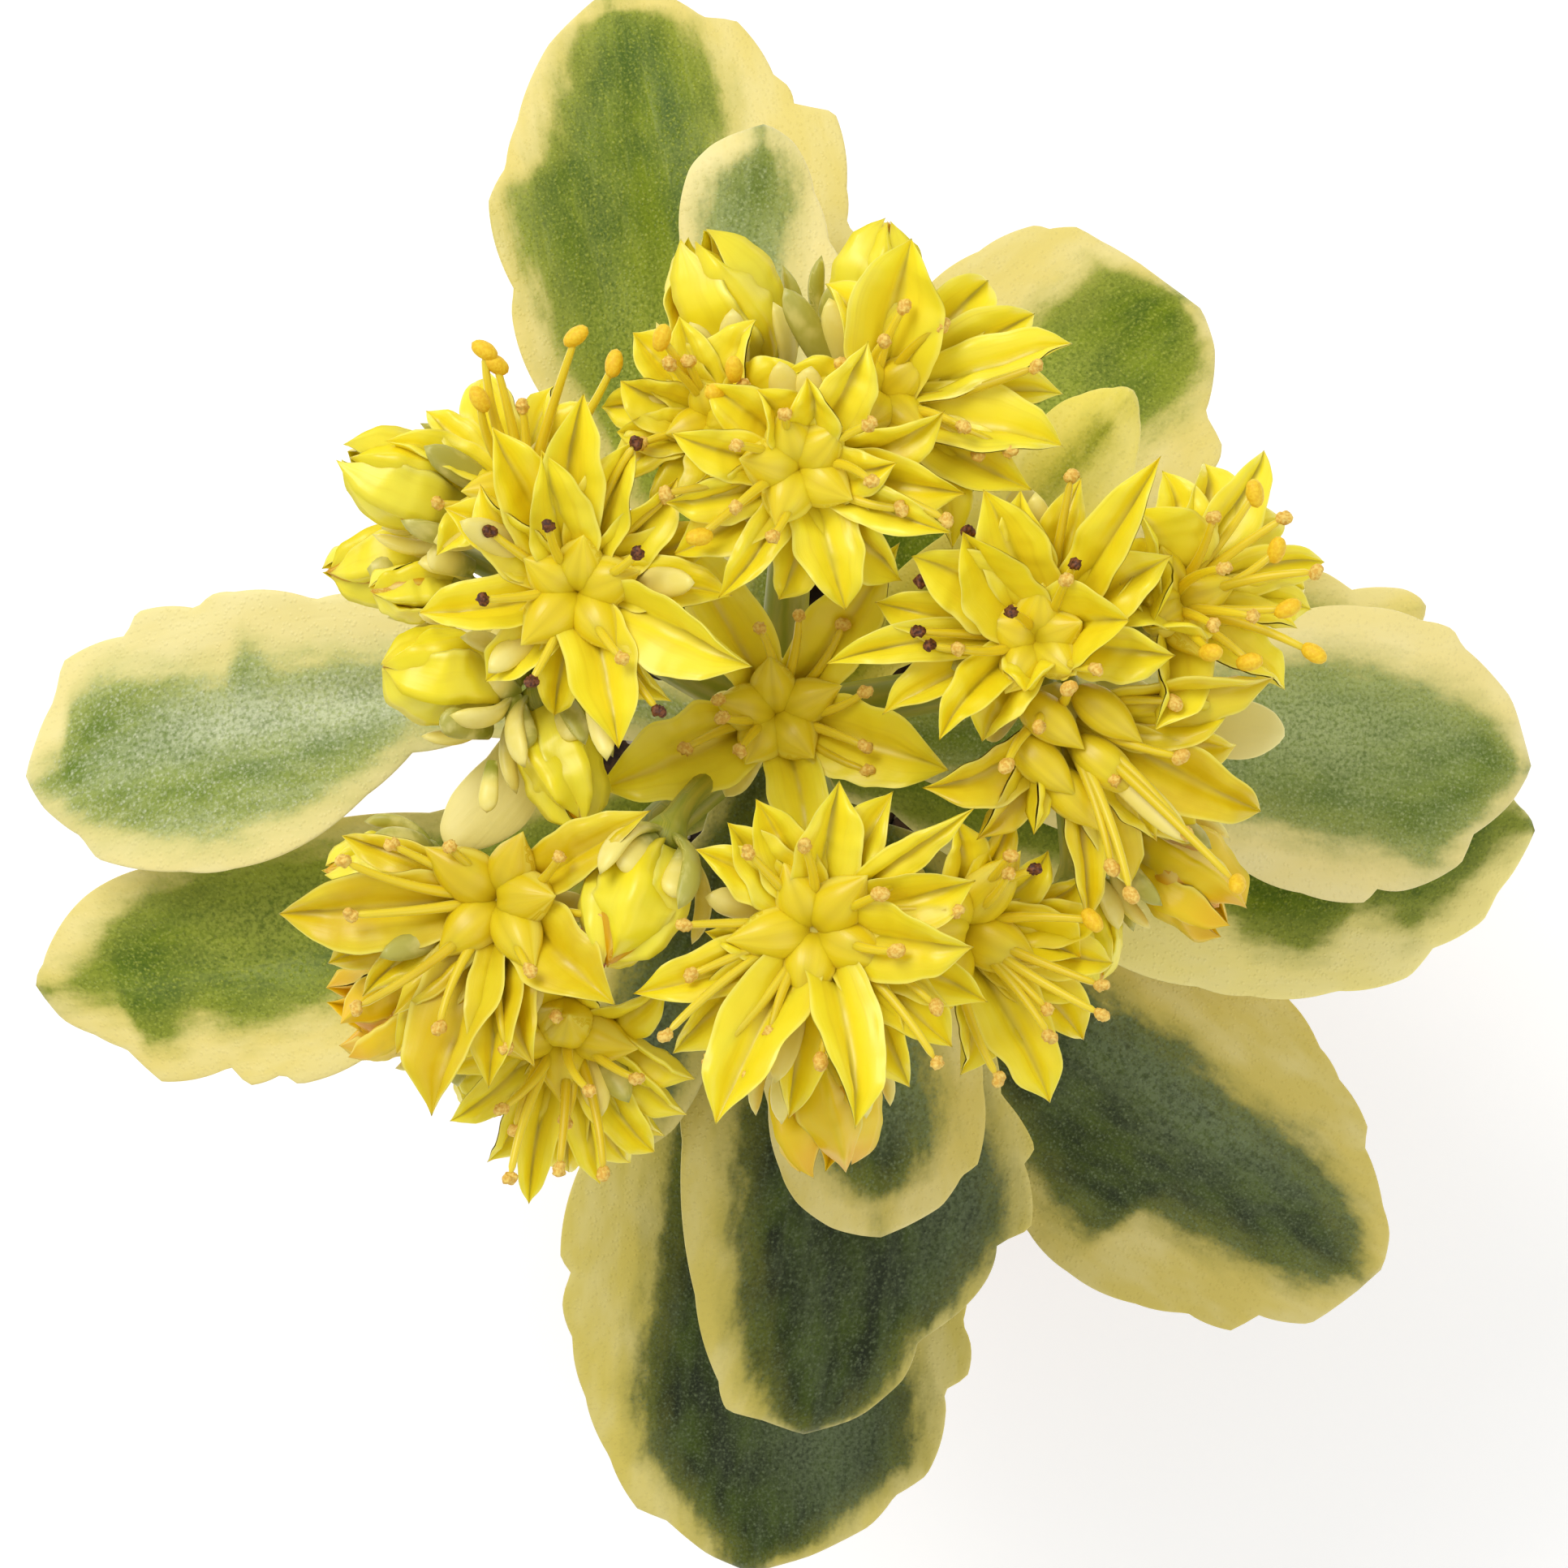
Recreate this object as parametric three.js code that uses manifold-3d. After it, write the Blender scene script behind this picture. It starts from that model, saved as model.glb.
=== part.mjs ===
// A variegated stonecrop in flower, growing in a small clay pot.
// Millimetres, +Z up. The origin is the middle of the pot's foot, and -Y is the front.
import * as THREE from 'three';
import { mergeVertices } from 'three/addons/utils/BufferGeometryUtils.js';
import Module from 'manifold-3d';

const wasm = await Module();
wasm.setup();

// Driving dimensions of the pot and the soil in it
const GAP = 0.3;
const CLOSE = 0.002;
const SLIVER = 0.004;
const POT = {
  height: 36, footRadius: 10.8, neckRadius: 13.5, rimRadius: 15.6, rimHeight: 8,
  wall: 2.3, floor: 3, drainRadius: 3, footBevel: 0.8, rimBevel: 0.7, rimStep: 0.8, lip: 0.4, lipBevel: 0.5,
  sides: 36,
};
const SOIL = { top: 32, edgeDrop: 1, hollow: 21, collar: 1.2, bump: 0.5, rings: 4, sides: 20 };

// Driving dimensions of the green stem: it leans a little from the soil to the fork under the flowers
const STEM = { foot: [0, 0, 22], soil: [0, 0, 32], fork: [-0.3, 3.1, 74], radius: 1.6, sides: 8 };
const BRANCH = { radius: 1.0, sag: 2.5, sides: 6 };
const STALK = { radius: 0.6, cup: 1.1, cupLength: 0.9, sides: 4 };

// Thickness of a leaf at its midrib and at its edge, and how far its round stretches swell
const LEAF = { midrib: 1.4, edge: 0.8, tip: 0.7, swell: 0.05, closest: 0.55 };

// Where the leaf blades start to widen, as along and out, before the measured edges begin
const LEAF_FOOT = [[1.85, 1.2], [6, 1.5]];

// Each leaf: the height where it leaves the stem, the place of its tip, how far its middle rises (arch)
// and bows to the left (sway), how far its edges rise (cup), its roll in degrees, and its two edges as
// [along, out] measured from the stem and from the midrib, with a step at each tooth.
const LEAVES = {
  leaf_back_large: {
    attach: 58, tip: [-8.3, 40.9, 57], arch: 3.0, sway: 0, cup: 1.0, roll: 3,
    left: [[13, 4.8], [19, 7.9], [23.4, 8.8], [25.1, 8.4], [29.8, 8.8], [31.4, 7.6], [33.6, 6.6],
      [37.3, 4.3], [38.8, 2.2]],
    right: [[13, 4.8], [19, 8.0], [23.8, 9.2], [25, 8.6], [26.8, 9.0], [30.8, 9.2], [31.6, 7.3],
      [32.6, 7.2], [33.3, 6.6], [36.6, 5.3], [37.1, 3.7], [38.6, 2.2]],
  },
  leaf_back_small: {
    attach: 68.5, tip: [-1, 32, 70], arch: 1.6, sway: 0.3, cup: 0.8, roll: 0,
    left: [[12, 2.4], [18, 3.7], [23.7, 4.0], [27.1, 3.6], [27.7, 3.2], [28.9, 1.8]],
    right: [[12, 2.4], [18, 4.2], [21.9, 4.0], [23.5, 3.2], [25.9, 2.5], [27.9, 1.8]],
  },
  leaf_back_right: {
    attach: 60, tip: [21, 24, 60], arch: 2.5, sway: 1.5, cup: 1.0, roll: -2,
    left: [[10, 4.2], [15, 7.6], [21, 9.2], [24.6, 9.0], [27.7, 8.3], [27.9, 7.8], [29.1, 7.0],
      [29.4, 5.8], [30.0, 4.2], [30.4, 2.0]],
    right: [[10, 3.6], [16, 6.6], [22, 7.4], [25.5, 6.8], [26.2, 6.2], [26.7, 4.5], [28.9, 2.8],
      [30.2, 1.2]],
  },
  leaf_back_right_small: {
    attach: 70.4, tip: [16.8, 18.9, 72.6], arch: 1.2, sway: -0.6, cup: 0.6, roll: 0,
    left: [[12, 1.8], [18, 2.2], [20.2, 2.3], [21.4, 1.8], [22.8, 0.9]],
    right: [[12, 2.2], [17, 3.1], [20.1, 2.9], [21.4, 2.2], [22.8, 1.1]],
  },
  leaf_right: {
    attach: 64, tip: [37.4, 0.9, 62], arch: 2.4, sway: 0.3, cup: 0.9, roll: 3,
    left: [[11, 3.0], [18, 5.6], [24.8, 6.7], [28.8, 7.3], [31.7, 6.8], [33.3, 6.5], [33.8, 5.7],
      [36.4, 3.4]],
    right: [[11, 3.0], [17, 5.0], [23.3, 6.1], [26.1, 7.0], [29.4, 7.3], [29.9, 6.6], [31.4, 6.6],
      [34.2, 5.1], [34.8, 3.6], [36.7, 1.9]],
  },
  leaf_right_low: {
    attach: 57, tip: [38.6, -2.4, 55], arch: 1.6, sway: -2.2, cup: 0.6, roll: -6,
    left: [[11, 3.4], [18, 6.0], [26, 6.4], [33, 5.0], [36.6, 3.0], [38.0, 1.4]],
    right: [[11, 3.4], [17, 6.4], [22.4, 7.6], [25, 7.9], [29.5, 7.6], [33.2, 7.0], [34.3, 5.6],
      [36.8, 4.4], [37.4, 3.0]],
  },
  leaf_right_hidden: {
    attach: 51.5, tip: [33.2, 9.2, 53.5], arch: 1.4, sway: 0.5, cup: 0.5, roll: 5,
    left: [[12, 3.2], [20, 4.6], [26, 4.0], [29.5, 2.6], [30.6, 1.5]],
    right: [[12, 3.2], [21, 4.6], [28, 4.0], [31.5, 2.4]],
  },
  leaf_front_right: {
    attach: 53, tip: [31.5, -24.3, 50.5], arch: 2.6, sway: -1.8, cup: 0.9, roll: 4,
    left: [[12, 3.6], [20, 7.0], [25.6, 8.4], [28.1, 8.3], [30.9, 7.2], [32.9, 6.4], [35.7, 5.1],
      [36.2, 4.2], [39.6, 1.8]],
    right: [[12, 4.2], [19, 8.0], [25.5, 9.2], [28.7, 9.8], [32.5, 9.2], [34.9, 8.2], [37.2, 7.7],
      [37.8, 6.3], [39.9, 4.6], [40.6, 2.3]],
  },
  leaf_front_large: {
    attach: 50, tip: [-1.7, -41.5, 48.5], arch: 2.6, sway: 0.3, cup: 0.9, roll: 0,
    left: [[12, 4.4], [20, 8.6], [25, 10.2], [29, 10.2], [30.1, 10.7], [31.8, 10.6], [32.6, 9.4],
      [34, 9.6], [37.2, 8.8], [38.4, 7.2], [40.1, 6.0], [41.8, 3.1]],
    right: [[12, 4.6], [17, 8.0], [21.1, 9.8], [26.2, 10.8], [27.1, 10.2], [28.8, 10.6], [30.5, 10.0],
      [33.6, 9.2], [36.8, 7.8], [39.6, 6.2], [40.2, 4.6], [42.2, 2.0]],
  },
  leaf_front: {
    attach: 61.5, tip: [1, -32.8, 60], arch: 2.0, sway: 3.0, cup: 0.8, roll: 0,
    left: [[9, 3.6], [14, 6.6], [18, 7.4], [20.7, 9.1], [21.5, 8.6], [24.8, 9.2], [25.5, 7.6],
      [27.2, 7.4], [28.8, 6.4], [30.4, 4.5], [32.4, 4.2], [34.5, 2.2]],
    right: [[9, 5.0], [16.1, 8.2], [19.8, 8.5], [27.6, 7.2], [32.1, 5.1], [33.6, 3.8], [34.1, 2.6]],
  },
  leaf_front_small: {
    attach: 71.4, tip: [4.7, -22, 70], arch: 1.4, sway: 1.0, cup: 0.7, roll: 0,
    left: [[9, 3.0], [14, 5.0], [19.1, 5.5], [22.8, 4.9], [23.3, 4.0], [24.4, 2.6]],
    right: [[9, 3.0], [14, 4.7], [17.9, 4.9], [21.1, 4.7], [22.9, 3.6], [24.0, 2.4]],
  },
  leaf_front_left_small: {
    attach: 66.4, tip: [-9.3, -18.2, 64], arch: 1.4, sway: 0, cup: 0.5, roll: 0,
    left: [[9, 2.2], [15, 3.2], [20, 3.1], [21.5, 2.2]],
    right: [[9, 2.2], [15, 3.2], [19.6, 3.3], [20.4, 2.9], [21.7, 1.8]],
  },
  leaf_left: {
    attach: 62.5, tip: [-38.1, 0.4, 61], arch: 2.4, sway: -3.2, cup: 1.3, roll: -4,
    left: [[10, 1.6], [15, 2.2], [18.2, 3.0], [20.6, 5.0], [23.6, 7.0], [27.3, 7.7], [29.9, 7.3],
      [34.4, 5.4], [35.2, 4.0], [36.7, 2.4]],
    right: [[10, 2.6], [15, 4.2], [19.7, 4.9], [22.6, 4.9], [26.6, 5.9], [27.8, 6.0], [28.6, 5.5],
      [31.7, 6.1], [32.3, 5.1], [35.7, 4.9], [36.2, 3.2], [37.4, 1.5]],
  },
  leaf_front_left: {
    attach: 55.5, tip: [-38.6, -10.4, 54], arch: 2.0, sway: 2.5, cup: 0.8, roll: 4,
    left: [[11, 2.8], [18, 4.6], [24, 5.9], [28.6, 6.8], [29.2, 6.1], [31.1, 6.4], [31.7, 5.3],
      [35.4, 5.6], [36.7, 3.7], [38.1, 2.8], [39.6, 1.8]],
    right: [[11, 2.8], [18, 4.8], [26, 6.0], [32.2, 5.6], [35.8, 4.8], [37.9, 3.3], [39.6, 1.2]],
  },
};

// Thin bracts among the flowers: like the leaves, but each starts at a given place on a branch
const BRACT = { midrib: 0.9, edge: 0.6, tip: 0.6 };
const BRACTS = {
  bract_left: {
    start: [-10.9, 6.6, 81.6], tip: [-15.3, -3.0, 84.4], arch: 0.6, sway: 1.2, cup: 0.3, roll: 0,
    left: [[0, 0.5], [3.5, 0.6], [6, 1.4], [8.2, 1.8], [9.9, 1.1]],
    right: [[0, 0.5], [3.5, 0.6], [6, 1.4], [8.2, 1.8], [9.9, 1.1]],
  },
  bract_right: {
    start: [14.4, 5.2, 81.9], tip: [23.0, 2.2, 83.4], arch: 0.5, sway: -0.6, cup: 0.3, roll: 0,
    left: [[0, 0.5], [3, 0.6], [5, 1.1], [7.3, 1.4], [8.6, 0.9]],
    right: [[0, 0.5], [3, 0.6], [5, 1.1], [7.3, 1.4], [8.6, 0.9]],
  },
  bract_back_right: {
    start: [12.0, 7.4, 82.4], tip: [10.7, 13.6, 85.4], arch: 0.3, sway: 0, cup: 0.2, roll: 0,
    left: [[0, 0.5], [2.5, 0.6], [5.2, 0.9], [6.4, 0.6]],
    right: [[0, 0.5], [2.5, 0.6], [5.2, 0.9], [6.4, 0.6]],
  },
};

// A flower: five petals, five carpels and five of its ten stamens on a small core. Angles are in degrees.
// A root is how far from the core's middle a piece starts, and shares and widths give its outline.
const FLOWER = { core: 1.3, parts: 5 };
const PETAL = {
  halfWidth: 1.5, lift: 0.35, groove: 0.1, keel: 0.6, rise: 14, arch: 0.13, root: 0.75, sunk: 0.5,
  shares: [0, 0.48, 0.78, 1], widths: [0.3, 1, 0.7, 0],
};
const CARPEL = {
  length: 4.1, belly: 2.04, radius: 0.95, rise: 52, bow: 0.5, root: 0.7,
  shares: [0, 0.38, 0.7, 1], widths: [0.5, 1, 0.55, 0],
};
const STAMEN = {
  length: 5.8, radius: 0.27, anther: 0.5, rise: 36, bow: 0.12, root: 0.9,
  shares: [0, 0.84, 0.92, 1], sway: 6, uneven: 0.6,
};
const SEPAL = {
  length: 3.4, halfWidth: 0.63, halfThick: 0.45, rise: 24, droop: 0.08, root: 0.5, sunk: 0.5,
  shares: [0, 0.72, 1], widths: [0.6, 1, 0],
};

// Each spray of the cyme: where its branch ends, and its flowers. A flower has the place of its core, the
// direction it leans to with its lean, and its petals as [direction, length].
const SPRAYS = {
  centre: {
    node: [-0.35, 3.15, 77],
    flowers: [
      {
        at: [-0.4, 3.2, 82], leans: [0, 0],
        petals: [[203, 9.3], [342, 8.8], [280, 8.2], [121, 10.0], [54, 10.0]],
      },
    ],
  },
  left: {
    node: [-10, 8.4, 83],
    flowers: [
      {
        at: [-9.1, 8.8, 90.6], leans: [225, 8],
        petals: [[335, 9.3], [284, 7.8], [190, 7.2], [115, 8.2], [47, 7.0]],
      },
      {
        at: [-12.0, 13.4, 86.0], leans: [122, 36],
        petals: [[74, 6.8], [136, 8.4], [214, 5.6], [282, 4.8], [350, 4.4]],
      },
    ],
  },
  back: {
    node: [0.6, 14.6, 84],
    flowers: [
      {
        at: [0.7, 14.1, 92.6], leans: [270, 14],
        petals: [[289, 7.8], [238, 7.4], [334, 7.6], [185, 5.8], [84, 6.4]],
      },
      {
        at: [4.9, 17.7, 89.4], leans: [45, 28],
        petals: [[85, 8.2], [12, 8.6], [339, 9.0], [160, 5.6], [245, 5.6]],
      },
      {
        at: [-3.5, 16.9, 89.2], leans: [150, 24],
        petals: [[152, 7.2], [190, 6.4], [234, 6.2], [88, 4.2], [306, 4.0]],
      },
    ],
  },
  right: {
    node: [12.6, 5.4, 83.4],
    flowers: [
      {
        at: [11.2, 6.4, 91], leans: [200, 10],
        petals: [[224, 7.0], [187, 9.0], [145, 7.4], [112, 7.6], [56, 10.6]],
      },
      {
        at: [13.8, 2.6, 89.0], leans: [315, 26],
        petals: [[331, 9.8], [262, 9.8], [203, 8.8], [12, 8.4], [298, 8.2]],
      },
      {
        at: [17.2, 8.0, 88.6], leans: [20, 36],
        petals: [[15, 9.0], [56, 9.2], [335, 7.4], [250, 5.2], [130, 5.4]],
      },
    ],
  },
  front: {
    node: [3.6, -5.6, 83.4],
    flowers: [
      {
        at: [1.4, -6.3, 91], leans: [270, 8],
        petals: [[81, 7.0], [147, 6.6], [200, 8.7], [243, 10.1], [281, 9.5], [353, 8.0]],
      },
      {
        at: [8.7, -6.8, 86.0], leans: [314, 34],
        petals: [[291, 9.2], [94, 5.6], [342, 5.6], [150, 4.6], [222, 5.2]],
      },
    ],
  },
  front_left: {
    node: [-11.2, -6.8, 82.4],
    flowers: [
      {
        at: [-12.6, -5.1, 89], leans: [180, 18],
        petals: [[183, 10.3], [104, 6.6], [31, 8.9], [313, 7.6], [250, 10.2]],
      },
      {
        at: [-9.9, -11.1, 85.2], leans: [262, 38],
        petals: [[302, 8.4], [332, 7.4], [256, 8.6], [202, 7.4], [80, 4.6]],
      },
    ],
  },
};

// Closed flowers of five creased lobes: the spray they belong to, their foot and tip, and their width
const BUD = {
  lobes: 5, crease: 0.8, shares: [0, 0.16, 0.45, 0.78, 1], widths: [0, 0.62, 1, 0.5, 0],
  sepalShare: 0.5, sepalScale: 0.9, clear: 0.35,
};
const BUDS = {
  bud_1: { spray: 'left', foot: [-15.4, 13.0, 83.8], tip: [-20.0, 15.3, 87.0], width: 4.2 },
  bud_2: { spray: 'left', foot: [-16.0, 10.6, 80.4], tip: [-21.4, 9.8, 81.4], width: 3.6 },
  bud_3: { spray: 'left', foot: [-15.2, 8.9, 84.0], tip: [-19.0, 8.8, 85.2], width: 2.4 },
  bud_4: { spray: 'left', foot: [-13.2, 4.6, 86.4], tip: [-18.2, 5.3, 88.6], width: 4.4 },
  bud_5: { spray: 'left', foot: [-11.4, 2.8, 86.4], tip: [-9.4, -2.2, 88.4], width: 3.8 },
  bud_6: { spray: 'back', foot: [-1.4, 19.8, 86.2], tip: [-4.2, 24.8, 89.4], width: 4.2 },
  bud_7: { spray: 'back', foot: [3.4, 20.6, 84.6], tip: [4.8, 25.6, 87.0], width: 3.8 },
  bud_8: { spray: 'centre', foot: [-5.3, -2.6, 85.8], tip: [-7.9, -7.6, 88.6], width: 4.4 },
  bud_9: { spray: 'front', foot: [1.6, -12.2, 84.6], tip: [2.8, -18.0, 84.2], width: 4.2 },
  bud_10: { spray: 'right', foot: [17.2, -2.0, 83.4], tip: [20.9, -5.8, 84.4], width: 3.4 },
  bud_11: { spray: 'right', foot: [13.6, -5.0, 82.2], tip: [14.6, -9.4, 82.8], width: 2.8 },
  bud_12: { spray: 'front_left', foot: [-16.0, -9.8, 84.6], tip: [-20.6, -11.0, 85.6], width: 3.6 },
  bud_13: { spray: 'front_left', foot: [-13.9, -12.3, 80.6], tip: [-13.6, -15.6, 80.8], width: 2.8 },
  bud_14: { spray: 'front_left', foot: [-16.8, -3.6, 83.6], tip: [-21.2, -4.0, 84.4], width: 2.8 },
};

// Colours and surfaces
const finish = (color, roughness) => new THREE.MeshStandardMaterial({ color, roughness, metalness: 0 });
const FINISH = {
  clay: finish(0xb5643c, 0.85),
  soil: finish(0x2e2018, 0.95),
  stem: finish(0x8a9a3c, 0.55),
  leaf: finish(0x6d8038, 0.5),
  cream: finish(0xe8dc98, 0.5),
  petal: finish(0xecd42c, 0.45),
  bud: finish(0xe9d83a, 0.45),
};

// A repeatable draw between -1 and 1, for the small unevenness of grown things
function drawer(seed) {
  let state = seed >>> 0;
  return () => {
    state = (Math.imul(state, 1664525) + 1013904223) >>> 0;
    return state / 2147483648 - 1;
  };
}

const vec = (p) => new THREE.Vector3(p[0], p[1], p[2]);
const UP = new THREE.Vector3(0, 0, 1);
const ASIDE = new THREE.Vector3(1, 0.2, 0).normalize();
const radians = THREE.MathUtils.degToRad;

// The closed solid of a geometry: corners closer than CLOSE are merged, and triangles that have shrunk to
// a line are dropped
function solidOf(geometry) {
  const bare = geometry.clone();
  bare.deleteAttribute('normal');
  bare.deleteAttribute('uv');
  const merged = mergeVertices(bare, CLOSE);
  const corners = Array.from(merged.index.array);
  const kept = [];
  for (let i = 0; i < corners.length; i += 3) {
    const [a, b, c] = corners.slice(i, i + 3);
    if (a !== b && b !== c && c !== a) kept.push(a, b, c);
  }
  return new wasm.Manifold(new wasm.Mesh({
    numProp: 3,
    vertProperties: merged.attributes.position.array,
    triVerts: new Uint32Array(kept),
  }));
}

// The geometry of a solid
function geometryOf(solid) {
  const mesh = solid.getMesh();
  const geometry = new THREE.BufferGeometry();
  geometry.setAttribute('position', new THREE.BufferAttribute(mesh.vertProperties, 3));
  geometry.setIndex(new THREE.BufferAttribute(mesh.triVerts, 1));
  geometry.computeVertexNormals();
  return geometry;
}

// A slim form that follows a curve: a cylinder whose rings stand at the given shares of the curve.
// section(share, right, up) gives how far a point of the ring lies to the right of the curve and above it.
function follow(curve, sides, shares, section, up = UP) {
  const steps = shares.length - 1;
  const geometry = new THREE.CylinderGeometry(1, 1, 1, sides, steps);
  const position = geometry.attributes.position;
  for (let i = 0; i < position.count; i += 1) {
    const share = shares[Math.round((position.getY(i) + 0.5) * steps)];
    const along = curve.getTangent(share);
    const right = along.clone().cross(up).normalize();
    const above = right.clone().cross(along);
    const [out, high] = section(share, position.getX(i), position.getZ(i));
    const point = curve.getPoint(share).addScaledVector(right, out).addScaledVector(above, high);
    position.setXYZ(i, point.x, point.y, point.z);
  }
  return solidOf(geometry);
}

// A round slim form, with its radius at each ring
function rod(curve, sides, shares, radii, up = UP) {
  const radiusAt = (share) => radii[shares.indexOf(share)];
  return follow(curve, sides, shares, (share, x, y) => [x * radiusAt(share), y * radiusAt(share)], up);
}

// The corners of each triangle of a solid's mesh
function trianglesOf({ triVerts }) {
  const triangles = [];
  for (let i = 0; i < triVerts.length; i += 3) triangles.push([...triVerts.slice(i, i + 3)]);
  return triangles;
}

// Closes up the edges of a mesh that are shorter than SLIVER. Triangles that shrink to a line go, and so do
// two that come to lie back to back.
function closeShortEdges(triangles, point) {
  const moved = new Map();
  for (const corners of triangles) {
    corners.forEach((a, k) => {
      const b = corners[(k + 1) % 3];
      const free = !moved.has(a) && !moved.has(b) && ![...moved.values()].includes(b);
      if (free && point(a).distanceTo(point(b)) < SLIVER) moved.set(b, a);
    });
  }
  const closed = triangles.map((corners) => corners.map((a) => moved.get(a) ?? a));
  const open = closed.filter(([a, b, c]) => a !== b && b !== c && c !== a);
  const name = (corners) => [...corners].sort((a, b) => a - b).join();
  const uses = new Map();
  for (const corners of open) uses.set(name(corners), (uses.get(name(corners)) ?? 0) + 1);
  const kept = open.filter((corners) => uses.get(name(corners)) === 1);
  return moved.size ? closeShortEdges(kept, point) : kept;
}

// Where a corner lies within SLIVER of the opposite edge, that edge is turned to run from the corner
function turnLongEdges(triangles, point, rounds = 6) {
  const owner = new Map();
  triangles.forEach((corners, i) => {
    corners.forEach((a, k) => owner.set(`${a}>${corners[(k + 1) % 3]}`, i));
  });
  const changed = new Set();
  triangles.forEach(([x, y, z], i) => {
    const turns = [[x, y, z], [y, z, x], [z, x, y]];
    const lengths = turns.map(([a, b]) => point(a).distanceTo(point(b)));
    const longest = Math.max(...lengths);
    const [a, b, corner] = turns[lengths.indexOf(longest)];
    const area = new THREE.Triangle(point(a), point(b), point(corner)).getArea();
    const other = owner.get(`${b}>${a}`);
    if (2 * area / longest > SLIVER || changed.has(i) || changed.has(other)) return;
    const far = triangles[other].find((c) => c !== a && c !== b);
    if (far === corner || owner.has(`${far}>${corner}`) || owner.has(`${corner}>${far}`)) return;
    triangles[i] = [a, far, corner];
    triangles[other] = [far, b, corner];
    changed.add(i).add(other);
  });
  return changed.size && rounds ? turnLongEdges(triangles, point, rounds - 1) : triangles;
}

// Grown pieces fused into one body. A hollow that the fusing seals is filled and a loose scrap is dropped,
// because only the largest closed surface is kept. Slivers left along the seams are taken out.
function fuse(solids) {
  const pieces = solidOf(geometryOf(wasm.Manifold.union(solids))).decompose();
  const body = pieces.sort((a, b) => b.volume() - a.volume())[0].getMesh();
  const point = (i) => new THREE.Vector3().fromArray(body.vertProperties, 3 * i);
  const combed = turnLongEdges(closeShortEdges(trianglesOf(body), point), point);
  return new wasm.Manifold(new wasm.Mesh({
    numProp: 3,
    vertProperties: body.vertProperties,
    triVerts: new Uint32Array(combed.flat()),
  }));
}

// The direction with a heading round +Z and a rise above level, both in degrees
function direction(heading, rise) {
  const flat = Math.cos(radians(rise));
  return new THREE.Vector3(
    flat * Math.cos(radians(heading)),
    flat * Math.sin(radians(heading)),
    Math.sin(radians(rise)),
  );
}

// The place of the stem's middle at a height
function stemAt(height) {
  const share = (height - STEM.soil[2]) / (STEM.fork[2] - STEM.soil[2]);
  return vec(STEM.soil).lerp(vec(STEM.fork), Math.max(0, share));
}

// How far out an edge lies at a distance along the leaf: its longer stretches swell into arcs
function edgeAt(edge, along) {
  const last = edge.length - 2;
  let i = 0;
  while (i < last && along > edge[i + 1][0]) i += 1;
  const [a, b] = [edge[i], edge[i + 1]];
  const share = THREE.MathUtils.clamp((along - a[0]) / (b[0] - a[0]), 0, 1);
  const swell = LEAF.swell * (b[0] - a[0]) * 4 * share * (1 - share);
  return THREE.MathUtils.lerp(a[1], b[1], share) + swell;
}

// A blade: a sheet of three lines of points, its two edges and its midrib, with thickness on both faces.
// Both faces are split into triangles alike.
function blade(leaf, start, thick) {
  const line = vec(leaf.tip).sub(start);
  const length = Math.hypot(line.x, line.y);
  const ahead = new THREE.Vector3(line.x / length, line.y / length, 0);
  const leftward = new THREE.Vector3(-ahead.y, ahead.x, 0);
  const first = leaf.left[0][0];
  const left = [...leaf.left, [length, thick.tip]];
  const right = [...leaf.right, [length, thick.tip]];
  const stations = [first];
  for (const along of [...left, ...right].map((p) => p[0]).sort((a, b) => a - b)) {
    if (along - stations.at(-1) > LEAF.closest && along < length - LEAF.closest) stations.push(along);
  }
  stations.push(length);
  const rows = stations.length - 1;
  const sheet = new THREE.PlaneGeometry(1, 1, 2, rows);
  const count = sheet.attributes.position.count;
  const points = [];
  for (const face of [1, -1]) {
    for (let i = 0; i < count; i += 1) {
      const along = stations[Math.round((1 - sheet.attributes.uv.getY(i)) * rows)];
      const side = Math.round(sheet.attributes.uv.getX(i) * 2) - 1;
      const share = along / length;
      const hump = 4 * share * (1 - share);
      const out = -side * edgeAt(side < 0 ? left : right, along);
      const rise = line.z * share + leaf.arch * hump + Math.tan(radians(leaf.roll)) * out * hump
        + leaf.cup * Math.abs(out) / 8 * hump;
      const half = (side === 0 ? thick.midrib : thick.edge) / 2;
      const point = start.clone()
        .addScaledVector(ahead, along)
        .addScaledVector(leftward, leaf.sway * hump + out)
        .addScaledVector(UP, rise + face * half);
      points.push(point.x, point.y, point.z);
    }
  }
  const faces = [];
  const cells = sheet.index.array;
  for (let i = 0; i < cells.length; i += 3) {
    faces.push(cells[i], cells[i + 2], cells[i + 1]);
    faces.push(cells[i] + count, cells[i + 1] + count, cells[i + 2] + count);
  }
  const border = [0, 1, 2];
  for (let row = 1; row <= rows; row += 1) border.push(row * 3 + 2);
  border.push(rows * 3 + 1, rows * 3);
  for (let row = rows - 1; row > 0; row -= 1) border.push(row * 3);
  border.forEach((a, i) => {
    const b = border[(i + 1) % border.length];
    faces.push(a, b + count, b, a, a + count, b + count);
  });
  const geometry = new THREE.BufferGeometry();
  geometry.setAttribute('position', new THREE.Float32BufferAttribute(points, 3));
  geometry.setIndex(faces);
  return solidOf(geometry);
}

function leafSolid(leaf) {
  const start = stemAt(leaf.attach);
  const left = [...LEAF_FOOT, ...leaf.left];
  const right = [...LEAF_FOOT, ...leaf.right];
  return blade({ ...leaf, left, right }, start, LEAF);
}

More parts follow.
